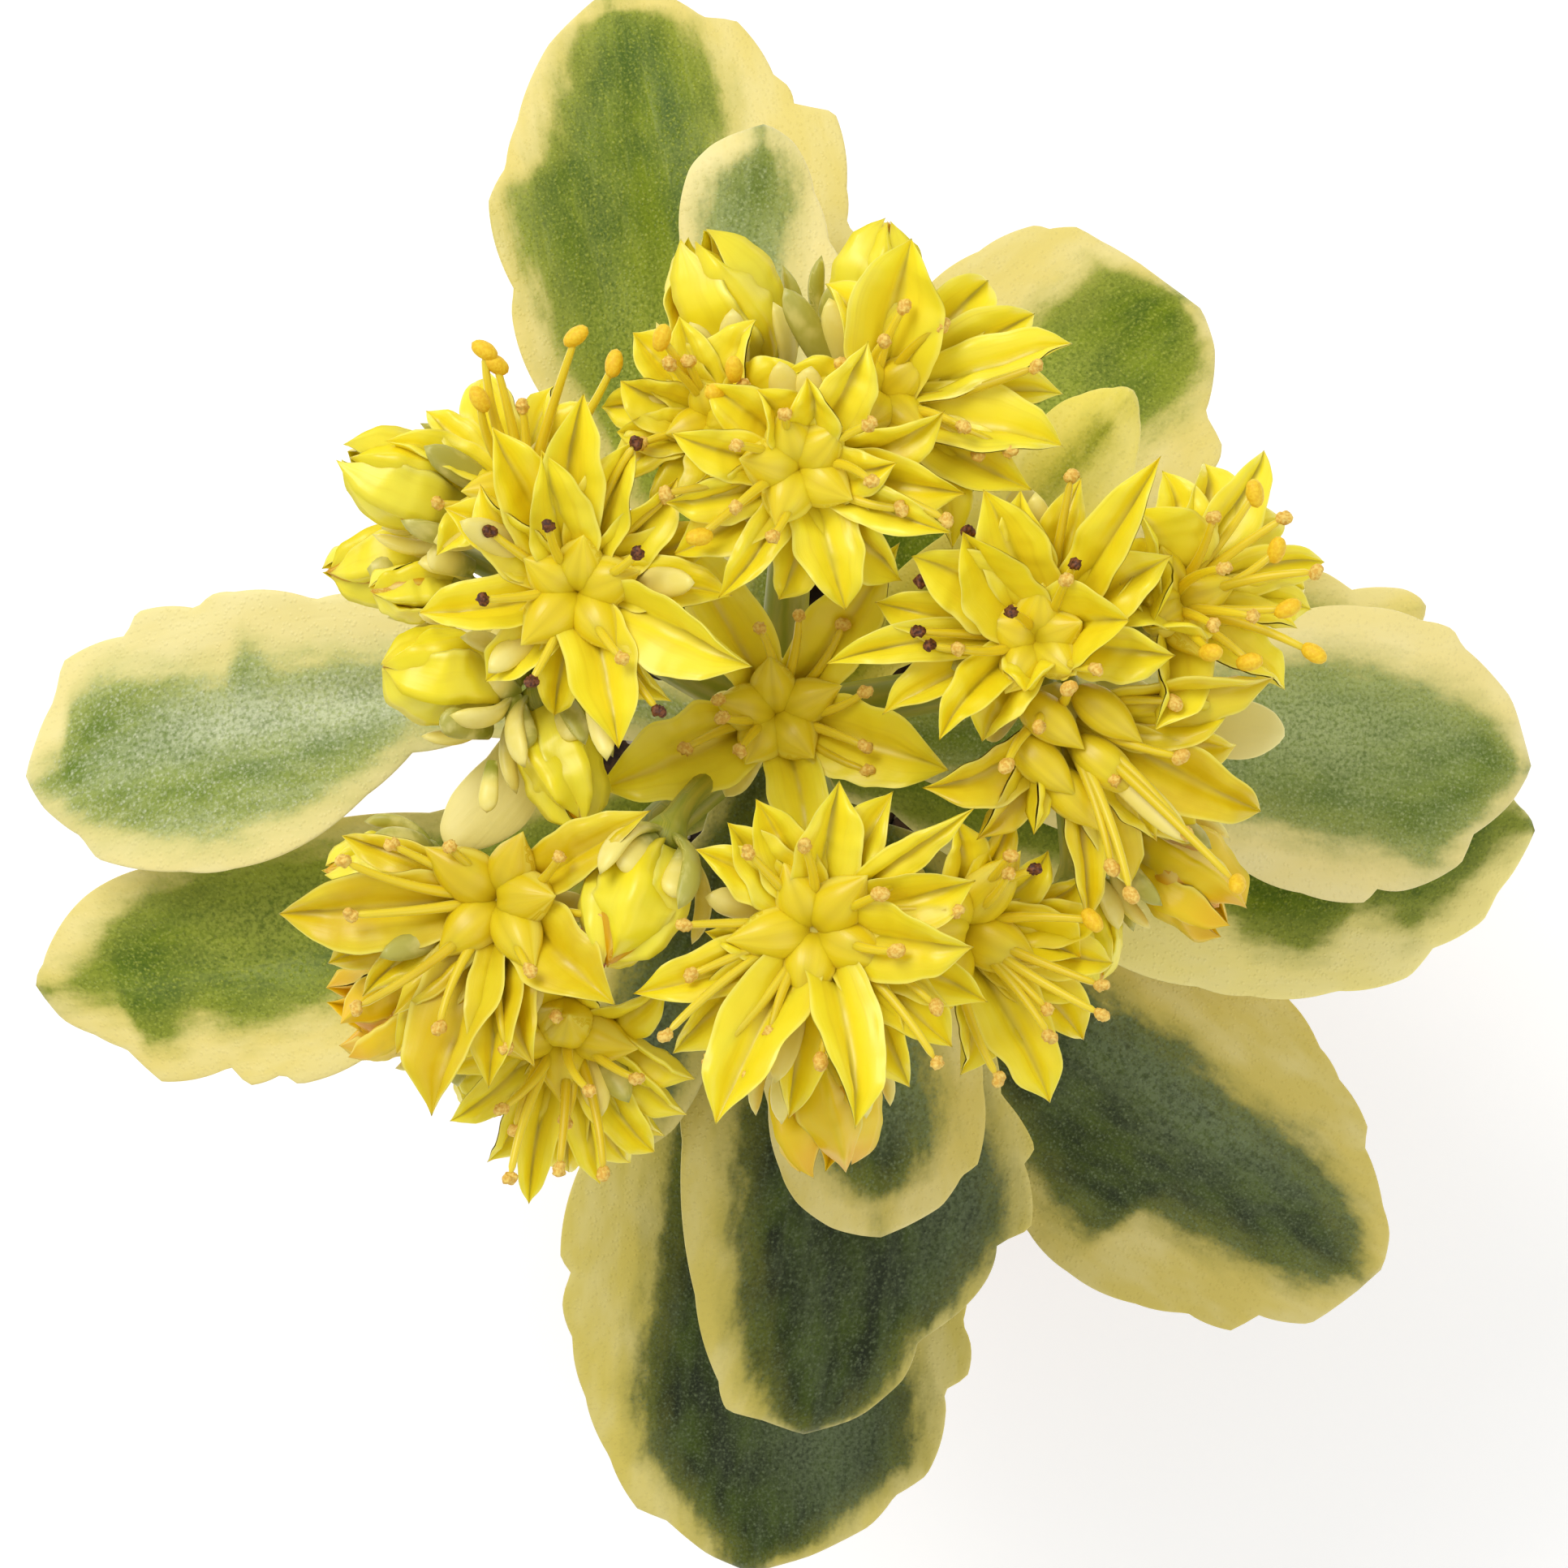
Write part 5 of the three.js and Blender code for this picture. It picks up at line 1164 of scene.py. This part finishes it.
# %% [markdown]
# The yellow of the petals is strong and a little translucent. It is lemon where a petal is full, greener at
# its root and golden towards the tip, with fine lines along it. Along its midline groove it is greener and
# darker, partly its own colour and partly painted shade, and its edges are paler, a painted highlight. Each
# petal has a tone of its own, kept in its mark, which is partly its own and partly painted light and shade:
# deep gold where it is low darkens lit flowers, and lemon where it is high lightens shaded ones. Pods,
# threads and buds are the same flesh in other yellows. A little subsurface gives the glow of light that
# comes through.

# %% Petal and pod materials
# The deep gold at the low end of the tone: partly the flowers' own colour, partly painted shade on lit
# flowers.
DEEP_GOLD = (196, 160, 8)
LIT_EDGE = (254, 246, 130)


def yellow_material(name, root, middle, tip, other, tip_from=0.9):
    """Translucent yellow flesh whose colour runs from the root to the tip."""
    made, tree, shader = material(
        name, Roughness=0.38, Subsurface_Weight=0.2, Subsurface_Scale=1.0 * MM, Specular_IOR_Level=0.5
    )
    shader.inputs["Subsurface Radius"].default_value = (1.0, 0.75, 0.12)
    mark = mesh_mark(tree, "mark")
    parts = node(tree, "SeparateXYZ", {0: mark}).outputs
    along, tone_and_painted_light = parts["X"], parts["Z"]
    lines = grain(tree, stretched(tree, mark, (1.2, 26.0, 7.0)), 1.0, 3.0)
    cloud = grain(tree, own_place(tree), 420.0, 3.0)
    across = calc(tree, "ABSOLUTE", calc(tree, "COSINE", calc(tree, "MULTIPLY", parts["Y"], math.tau)))
    colour = wash(tree, linear(root), middle, along, 0.05, 0.4)
    colour = wash(tree, colour, tip, along, tip_from, 0.99, 0.8)
    # The tone: partly the flower's own, partly painted light and shade, lemon where it is high and deep
    # gold where it is low.
    colour = wash(tree, colour, other, tone_and_painted_light, -0.6, 1.0, 0.6)
    colour = wash(tree, colour, DEEP_GOLD, tone_and_painted_light, -0.4, -1.1, 0.5)
    colour = wash(tree, colour, other, cloud, 0.35, 0.7, 0.35)
    colour = wash(tree, colour, root, lines, 0.5, 0.75, 0.25)
    # Greener and darker along the midline groove: partly the petal's own colour, partly painted shade in
    # the groove.
    colour = wash(tree, colour, root, across, 0.3, 0.0, 0.3)
    # Paler edges: a painted highlight.
    colour = wash(tree, colour, LIT_EDGE, across, 0.86, 1.0, 0.4)
    dress(tree, shader, colour, lines, 0.3, 0.06)
    return made


def anther_material(name, light, dark, roughness):
    """Grainy pollen or a dry husk."""
    made, tree, shader = material(name, Roughness=roughness)
    grains = grain(tree, own_place(tree), 7000.0, 2.0)
    colour = wash(tree, linear(dark), light, grains, 0.35, 0.65)
    dress(tree, shader, colour, grains, 0.35, 0.04)
    return made


FLOWER_MATERIALS = [
    yellow_material("petal_yellow", (206, 176, 20), (237, 212, 22), (230, 184, 10), (253, 238, 62)),
    yellow_material("pod_yellow", (204, 178, 24), (228, 200, 26), (240, 222, 90), (238, 214, 44)),
    yellow_material("thread_yellow", (210, 184, 24), (230, 200, 30), (236, 198, 50), (240, 214, 56)),
    anther_material("pollen_gold", (246, 206, 44), (238, 188, 26), 0.6),
    anther_material("husk_tan", (242, 208, 104), (222, 170, 66), 0.7),
    anther_material("husk_brown", (128, 74, 36), (66, 32, 16), 0.6),
]
print("flower materials:", len(FLOWER_MATERIALS))

# %% [markdown]
# Each flower is put together on a small core: its petals from the table, five carpels between them and its
# stamens. Where the table gives fewer than ten stamens, the rest stand close over the carpels.

# %% Flowers
CORE_RADIUS = 1.3


def flower_piece(name, flower, seed):
    """One open flower as one piece."""
    draw = drawer(seed)
    bm = skin_mesh()
    first = flower["petals"][0][0]
    for values in flower["petals"]:
        petal(bm, flower, *values, draw)
    for i in range(PARTS):
        carpel(bm, flower, i, draw)
    count = 0
    for kind, places in flower["stamens"].items():
        for x, y in places:
            stamen(bm, flower, lifted(flower, x, y), kind, draw)
            count += 1
    for i in range(count, STAMEN["count"]):
        heading = first + (i + 0.5) * TURN + 14 * draw()
        out = direction(heading, leant(flower, first + i * TURN, STAMEN["inner_rise"]))
        tip = Vector(flower["at"]) + out * (STAMEN["inner_length"] + 0.5 * draw())
        stamen(bm, flower, tip, "tan", draw)
    core = bmesh.ops.create_icosphere(bm, subdivisions=2, radius=CORE_RADIUS)["verts"]
    bmesh.ops.translate(bm, vec=flower["at"], verts=core)
    paint(core, 1)
    finish_piece(bm, name, FLOWER_MATERIALS)


flower_count = 0
for row, (spray_name, spray) in enumerate(SPRAYS.items()):
    for i, flower in enumerate(spray["flowers"]):
        flower_piece(f"flower_{spray_name}_{i + 1}", flower, 100 * (row + 1) + i)
        flower_count += 1
print("flowers:", flower_count)

# %% [markdown]
# A bud is five petals wrapped round a core, with their keels outwards. In a closed bud the tips meet in a
# point. In one that opens they stand apart at the tip, and it is a deeper orange inside. One egg shape
# would do from afar, but the photo shows the seams between the petals.

# %% Buds
BUD = {
    "sides": 24, "rings": 20, "core": 0.8, "half": 0.74, "open_half": 0.54, "open_from": 0.8, "wind": 0.12,
    "tint_spread": 0.2,
    "widths": [[0, 0], [0.06, 0.4], [0.2, 0.78], [0.45, 1.0], [0.7, 0.74], [0.9, 0.26], [1, 0]],
}
BUD_YELLOW = yellow_material("bud_yellow", (224, 198, 26), (248, 226, 30), (228, 194, 16), (253, 242, 84))
BUD_CORE = yellow_material("bud_core", (206, 170, 24), (224, 160, 12), (208, 128, 4), (228, 172, 16))
OPENING = yellow_material(
    "opening_yellow", (230, 206, 40), (242, 206, 14), (232, 158, 0), (244, 206, 24), 0.6
)


def bud_piece(name, bud, seed):
    """One bud, closed or opening."""
    draw = drawer(seed)
    bm = skin_mesh()
    foot, tip = Vector(bud["foot"]), Vector(bud["tip"])
    middle = foot.lerp(tip, 0.5) + UP * 0.15
    radius = bud["width"] / 2
    apart = bud.get("open", 0)
    opened = apart > BUD["open_from"]

    def section(share, turn):
        angle = math.tau * turn
        wide = radius * BUD["core"] * read_off(BUD["widths"], share)
        return math.sin(angle) * wide, math.cos(angle) * wide

    inner = foot.lerp(tip, 0.8 if apart else 0.97)
    follow(bm, [foot, middle, inner], UP, section, BUD["sides"], BUD["rings"], 1, draw())
    axis = (tip - foot).normalized()
    across = axis.cross(UP).normalized()
    above = across.cross(axis)
    length = (tip - foot).length
    start = draw()
    for i in range(PARTS):
        turns = []
        for share in (0.0, 0.5, 1.0):
            turn = start + math.radians(i * TURN) + math.tau * BUD["wind"] * share
            turns.append(across * math.cos(turn) + above * math.sin(turn))
        near, far, last = turns
        points = [
            foot + near * radius * 0.3,
            foot + axis * length * 0.25 + near * radius * 1.15,
            foot + axis * length * 0.7 + far * radius * 1.0,
            tip + last * (0.12 + apart + 0.1 * draw()) - axis * 0.25 * (1 + draw()),
        ]
        half = BUD["open_half"] if opened else BUD["half"]
        boat(bm, points, -far, radius * half, BUD["tint_spread"] * draw(), draw)
    finish_piece(bm, name, [OPENING if opened else BUD_YELLOW, BUD_CORE])


for i, (name, bud) in enumerate(BUDS.items()):
    bud_piece(name, bud, 900 + i)
print("buds:", len(BUDS))

# %% [markdown]
# The stem is one piece, as it grew: a round shoot that leans a little, a branch to each spray, and a stalk
# to each flower and bud. Each stalk widens into a green cup, and from the cup five blunt sepals stand out,
# or hug the bud. They are separate skins that run into each other, which is how such a joint looks when it
# is smooth. A union would give the same look with a ragged seam.

# %% Stem measures and rods
BRANCH = {"sag": 2.5, "radii": [[0, 1.25], [0.33, 1.1], [0.66, 1.0], [1, 0.95]], "sides": 18, "rings": 30}
STALK = {"radius": 0.6, "cup": 1.1, "cup_length": 0.9, "sides": 14, "rings": 26}
SHOOT = {"sides": 24, "rings": 120, "foot_rings": 16, "slim": [[0, 0.97], [0.35, 0.95], [1, 0.92]]}
KNOT = {"swell": 0.16, "half": 0.016}
SEPAL = {
    "length": 3.4, "half_width": 0.63, "half_thick": 0.45, "flat_top": 0.7, "rise": 24, "droop": 0.08,
    "root": 0.5, "sunk": 0.5, "seen_scale": 1.1, "sides": 14, "rings": 16,
    "widths": [[0, 0.6], [0.35, 0.85], [0.72, 1.0], [0.9, 0.72], [1, 0]],
}
BUD_SEPAL = {"share": 0.5, "scale": 0.9, "clear": 0.35}
GAP = 0.3


def rod(bm, points, radii, up, sides, rings, knots=()):
    """A round form along a curve, closed at both ends, with soft knots at the given shares."""

    def section(share, turn):
        radius = read_off(radii, share) * round_end(share + 0.0005, 0.02) * round_end(1.0005 - share, 0.02)
        for knot in knots:
            radius *= 1 + KNOT["swell"] * math.exp(-(((share - knot) / KNOT["half"]) ** 2))
        return on_circle(turn, radius)

    follow(bm, points, up, section, sides, rings)


def stalk(bm, start, top, axis):
    """A stalk that leaves its branch sideways, turns up to the flower and widens into a cup."""
    reach = (top - start).length
    turn = start.lerp(top, 0.6)
    turn.z = start.z + (top.z - start.z) * 0.15
    cup = 1 - STALK["cup_length"] / reach
    slim, wide = STALK["radius"], STALK["cup"]
    radii = [[0, slim], [0.4, slim], [cup - 0.12, slim], [cup, wide], [1, wide * 0.8]]
    points = [start, turn, top - axis * reach * 0.3, top]
    rod(bm, points, radii, ASIDE, STALK["sides"], STALK["rings"])


# %% Sepals
def sepal(bm, points, scale, raised, draw):
    """A blunt fleshy finger."""

    def section(share, turn):
        angle = math.tau * turn
        width = read_off(SEPAL["widths"], share) * scale
        high = math.sin(angle)
        thick = SEPAL["half_thick"] * (SEPAL["flat_top"] if high > 0 else 1.0)
        return math.cos(angle) * SEPAL["half_width"] * width, high * thick * width

    follow(bm, points, raised, section, SEPAL["sides"], SEPAL["rings"], 1, draw)


def open_sepals(bm, flower, draw):
    """Five sepals that stand out under an open flower. The ones that show end where the photo has them."""
    axis = facing(flower)
    top = Vector(flower["at"]) - axis * (CORE_RADIUS + GAP)
    root = top - axis * SEPAL["sunk"]
    seen = flower.get("sepals", [])
    for x, y, *high in seen:
        reach = math.hypot(x - root.x, y - root.y)
        end = Vector((x, y, root.z + (high[0] if high else 1.2 + reach * 0.42)))
        out = (end - root).normalized()
        points = [root + out * SEPAL["root"], root.lerp(end, 0.5) + UP * 0.2, end]
        sepal(bm, points, SEPAL["seen_scale"], UP, draw())
    for i in range(len(seen), PARTS):
        heading = flower["petals"][0][0] + (i + 0.5) * TURN
        out = direction(heading, leant(flower, heading, SEPAL["rise"]))
        points = [
            root + out * SEPAL["root"],
            root + out * SEPAL["length"] * 0.5 - axis * SEPAL["length"] * SEPAL["droop"],
            root + out * SEPAL["length"],
        ]
        sepal(bm, points, 1, axis, draw())


def bud_sepals(bm, bud, draw):
    """Five sepals that hug a bud."""
    foot, tip = Vector(bud["foot"]), Vector(bud["tip"])
    axis = (tip - foot).normalized()
    top = foot - axis * GAP
    across = axis.cross(UP).normalized()
    above = across.cross(axis)
    spread = bud["width"] / 2 + BUD_SEPAL["clear"] + SEPAL["half_thick"]
    length = (tip - foot).length
    for i in range(PARTS):
        turn = math.radians((i + 0.25) * TURN)
        raised = across * math.cos(turn) - above * math.sin(turn)
        points = [
            top - axis * SEPAL["sunk"] + raised * SEPAL["root"],
            foot + raised * spread * 1.1,
            foot + axis * length * BUD_SEPAL["share"] + raised * spread,
        ]
        sepal(bm, points, BUD_SEPAL["scale"], raised, draw())
    for x0, y0, x1, y1, *scale in bud.get("fingers", []):
        ends = []
        for x, y in ((x0, y0), (x1, y1)):
            along = (x - foot.x) * (tip.x - foot.x) + (y - foot.y) * (tip.y - foot.y)
            share = min(0.9, max(0.02, along / ((tip.x - foot.x) ** 2 + (tip.y - foot.y) ** 2)))
            top = bud["width"] / 2 * read_off(BUD["widths"], share) + BUD_SEPAL["clear"]
            ends.append(Vector((x, y, foot.lerp(tip, share).z + top)))
        points = [ends[0], ends[0].lerp(ends[1], 0.5) + UP * 0.5, ends[1]]
        sepal(bm, points, scale[0] if scale else SEPAL["seen_scale"], UP, draw())


# %% Stem and sepal materials
def stem_material():
    """Fleshy green, paler in long streaks and browner towards its foot."""
    made, tree, shader = material("stem_green", Roughness=0.45)
    lines = grain(tree, stretched(tree, mesh_mark(tree, "mark"), (3.0, 9.0, 1.0)), 1.0, 3.0)
    height = node(tree, "SeparateXYZ", {0: own_place(tree)}).outputs["Z"]
    colour = wash(tree, linear((136, 142, 36)), (168, 160, 52), lines, 0.35, 0.65)
    colour = wash(tree, colour, (142, 118, 70), height, 50 * MM, 34 * MM, 0.8)
    dress(tree, shader, colour, lines, 0.35, 0.15)
    return made


def sepal_material():
    """Cream fingers with a green root, some of them greener all over."""
    made, tree, shader = material("sepal_cream", Roughness=0.42)
    mark = mesh_mark(tree, "mark")
    parts = node(tree, "SeparateXYZ", {0: mark}).outputs
    green = (142, 144, 46)
    cloud = grain(tree, stretched(tree, mark, (4.0, 3.0, 9.0)), 1.0, 3.0)
    colour = wash(tree, linear(green), (238, 222, 116), parts["X"], 0.1, 0.5)
    colour = wash(tree, colour, green, parts["Z"], 0.45, 0.6, 0.7)
    colour = wash(tree, colour, (246, 234, 150), cloud, 0.45, 0.7, 0.5)
    dress(tree, shader, colour, cloud, 0.2, 0.1)
    return made


# %% Stem
bm = skin_mesh()
draw = drawer(77)
soil_level, fork = Vector(STEM["soil"]), Vector(STEM["fork"])
foot_radii = [[0, 0.8], [0.3, STEM["radius"]], [1, STEM["radius"]]]
rod(bm, [Vector(STEM["foot"]), soil_level], foot_radii, ASIDE, SHOOT["sides"], SHOOT["foot_rings"])
shoot = [soil_level - UP, fork]
knots = [(leaf["attach"] - shoot[0].z) / (fork.z - shoot[0].z) for leaf in LEAVES.values()]
shoot_radii = [[share, STEM["radius"] * slim] for share, slim in SHOOT["slim"]]
rod(bm, shoot, shoot_radii, ASIDE, SHOOT["sides"], SHOOT["rings"], knots)
for spray in SPRAYS.values():
    end = Vector(spray["node"])
    middle = fork.lerp(end, 0.55) - UP * BRANCH["sag"]
    rod(bm, [fork - UP, middle, end], BRANCH["radii"], ASIDE, BRANCH["sides"], BRANCH["rings"])
    for flower in spray["flowers"]:
        axis = facing(flower)
        stalk(bm, end, Vector(flower["at"]) - axis * (CORE_RADIUS + GAP * 0.3), axis)
        open_sepals(bm, flower, draw)
for bud in BUDS.values():
    axis = (Vector(bud["tip"]) - Vector(bud["foot"])).normalized()
    stalk(bm, Vector(SPRAYS[bud["spray"]]["node"]), Vector(bud["foot"]) + axis * 0.2, axis)
    bud_sepals(bm, bud, draw)
print("stem faces:", len(bm.faces))
finish_piece(bm, "stem", [stem_material(), sepal_material()])

# %% [markdown]
# The pot isn't in the photo. It is a plain thrown clay pot with a rim band and a drain hole, turned from
# one profile of [radius, height]. Spinning it is the natural way, because that is how a potter's wheel
# makes it. The corners are rounded in the profile itself, so no bevel is needed.

# %% Pot
POT = {
    "height": 36, "foot": 10.8, "neck": 13.5, "rim": 15.6, "rim_height": 8, "wall": 2.3, "floor": 3,
    "drain": 3, "bevel": 0.8, "step": 0.8, "lip": 0.4, "lip_bevel": 0.5, "mouth_drop": 0.7,
}
SPIN_STEPS = 120


def spun(profile, steps):
    """A closed turned form from a profile of (radius, height)."""
    bm = skin_mesh()
    verts = [bm.verts.new((radius, 0, height)) for radius, height in profile]
    edges = [bm.edges.new(pair) for pair in zip(verts, verts[1:])]
    bmesh.ops.spin(
        bm, geom=verts + edges, cent=(0, 0, 0), axis=(0, 0, 1), angle=math.tau, steps=steps,
        use_merge=True, use_duplicate=False,
    )
    return bm


def clay_material():
    """Fired clay: warm, matte and porous, with pale salt blooms and faint turning rings."""
    made, tree, shader = material("fired_clay", Roughness=0.85)
    place = own_place(tree)
    rings = grain(tree, stretched(tree, place, (60.0, 60.0, 1400.0)), 1.0, 3.0)
    blotch = grain(tree, place, 90.0, 4.0)
    pores = grain(tree, place, 2600.0, 3.0)
    colour = wash(tree, linear((176, 96, 62)), (200, 118, 80), blotch, 0.3, 0.7)
    colour = wash(tree, colour, (160, 84, 54), rings, 0.5, 0.7, 0.25)
    salt = calc(tree, "MULTIPLY", between(tree, blotch, 0.56, 0.74), between(tree, pores, 0.4, 0.6))
    colour = blend(tree, calc(tree, "MULTIPLY", salt, 0.55), colour, linear((226, 196, 176)))
    bump = dress(tree, shader, colour, pores, 0.4, 0.12)
    lines = node(tree, "Bump", {"Height": rings, "Strength": 0.3, "Distance": 0.2 * MM})
    plug(tree, lines.inputs["Normal"], bump.outputs["Normal"])
    plug(tree, shader.inputs["Normal"], lines.outputs["Normal"])
    return made


rim_foot = POT["height"] - POT["rim_height"]
inner_foot = POT["foot"] - POT["wall"]
mouth = POT["rim"] - POT["wall"] - POT["lip"] - POT["lip_bevel"]
foot, rim, height = POT["foot"], POT["rim"], POT["height"]
profile = [
    # Under the foot and round its edge.
    (POT["drain"], 0), (foot - POT["bevel"], 0), (foot - 0.25, 0.22), (foot, POT["bevel"]),
    # Up the wall and round the foot of the rim band.
    (POT["neck"], rim_foot - POT["step"]), (rim - POT["step"], rim_foot - 0.1),
    (rim - 0.15, rim_foot + 0.6),
    # Round the lip.
    (rim, height - 1.6), (rim - 0.12, height - 0.6), (rim - 0.5, height - 0.12), (rim - 1.0, height),
    (mouth + POT["lip_bevel"], height - 0.05), (mouth, height - POT["mouth_drop"]),
    # Down the inside to the drain hole.
    (inner_foot, POT["floor"]), (POT["drain"], POT["floor"]), (POT["drain"], 0),
]
finish_piece(spun(profile, SPIN_STEPS), "pot", [clay_material()])
print("pot:", height, "mm high,", 2 * rim, "mm across")

# %% [markdown]
# The soil is a plug of dark potting earth in the pot, turned like the pot, with a hole for the stem. Its
# top is rough, so its profile has many rings there, which noise lifts, and loose crumbs and a few pale
# grains lie on it. Scattered copies would be lighter, but each crumb here has a shape of its own.

# %% Soil
SOIL = {
    "top": 32, "drop": 1, "hole_floor": 21, "rings": 26, "sides": 90,
    "crumbs": 220, "crumb": 0.5, "grains": 40, "grain": 0.35, "clear": 1.2,
}


def pot_inner(height):
    """The inner radius of the pot at a height."""
    share = (height - POT["floor"]) / (POT["height"] - POT["mouth_drop"] - POT["floor"])
    return inner_foot + (mouth - inner_foot) * share


def soil_height(x, y, reach):
    """The height of the soil's rough top."""
    flat = math.sin(x * 1.3 + 0.7) * math.cos(y * 1.1 - 0.4) + 0.6 * math.sin(x * 0.5 - y * 0.9)
    rough = noise.fractal(Vector((x, y, 0)) * 0.9, 0.7, 2.1, 4)
    return SOIL["top"] + 0.35 * flat * (1 - reach ** 6) + 0.4 * rough - SOIL["drop"] * reach ** 6


soil_foot = POT["floor"] + GAP
soil_edge = pot_inner(SOIL["top"] - 1) - GAP
hole = STEM["radius"] + 0.1
profile = [(0, soil_foot), (pot_inner(soil_foot) - 2 * GAP, soil_foot), (soil_edge, SOIL["top"] - 1)]
for i in range(SOIL["rings"] + 1):
    profile.append((soil_edge + (hole - soil_edge) * i / SOIL["rings"], SOIL["top"]))
profile += [(hole, SOIL["hole_floor"]), (0, SOIL["hole_floor"])]
bm = spun(profile, SOIL["sides"])
for vert in bm.verts:
    radius = math.hypot(vert.co.x, vert.co.y)
    if vert.co.z > SOIL["top"] - 0.5 and radius > hole + 0.01:
        vert.co.z = soil_height(vert.co.x, vert.co.y, radius / soil_edge)
draw = drawer(31)
for i in range(SOIL["crumbs"] + SOIL["grains"]):
    pale = i >= SOIL["crumbs"]
    radius = hole + SOIL["clear"] + (soil_edge - hole - 2 * SOIL["clear"]) * abs(draw()) ** 0.6
    turn = math.pi * draw()
    size = (SOIL["grain"] if pale else SOIL["crumb"]) * (1 + 0.6 * draw())
    x, y = radius * math.cos(turn), radius * math.sin(turn)
    crumb = bmesh.ops.create_icosphere(bm, subdivisions=1, radius=size)["verts"]
    for vert in crumb:
        vert.co *= 1 + 0.25 * draw()
    bmesh.ops.translate(bm, vec=(x, y, soil_height(x, y, radius / soil_edge) + size * 0.3), verts=crumb)
    paint(crumb, 1 if pale else 0)
print("soil faces:", len(bm.faces))


# %% Soil materials
def soil_material(name, dark, light, roughness):
    """Crumbly earth or a pale mineral grain."""
    made, tree, shader = material(name, Roughness=roughness)
    place = own_place(tree)
    lumps = grain(tree, place, 900.0, 5.0)
    fibres = grain(tree, stretched(tree, place, (1.0, 4.0, 2.0)), 700.0, 4.0)
    colour = wash(tree, linear(dark), light, lumps, 0.35, 0.68)
    colour = wash(tree, colour, light, fibres, 0.6, 0.75, 0.5)
    dress(tree, shader, colour, lumps, 0.8, 0.4)
    return made


earth = soil_material("earth", (34, 24, 16), (78, 58, 40), 0.95)
mineral = soil_material("mineral", (176, 168, 150), (214, 208, 194), 0.8)
finish_piece(bm, "soil", [earth, mineral])
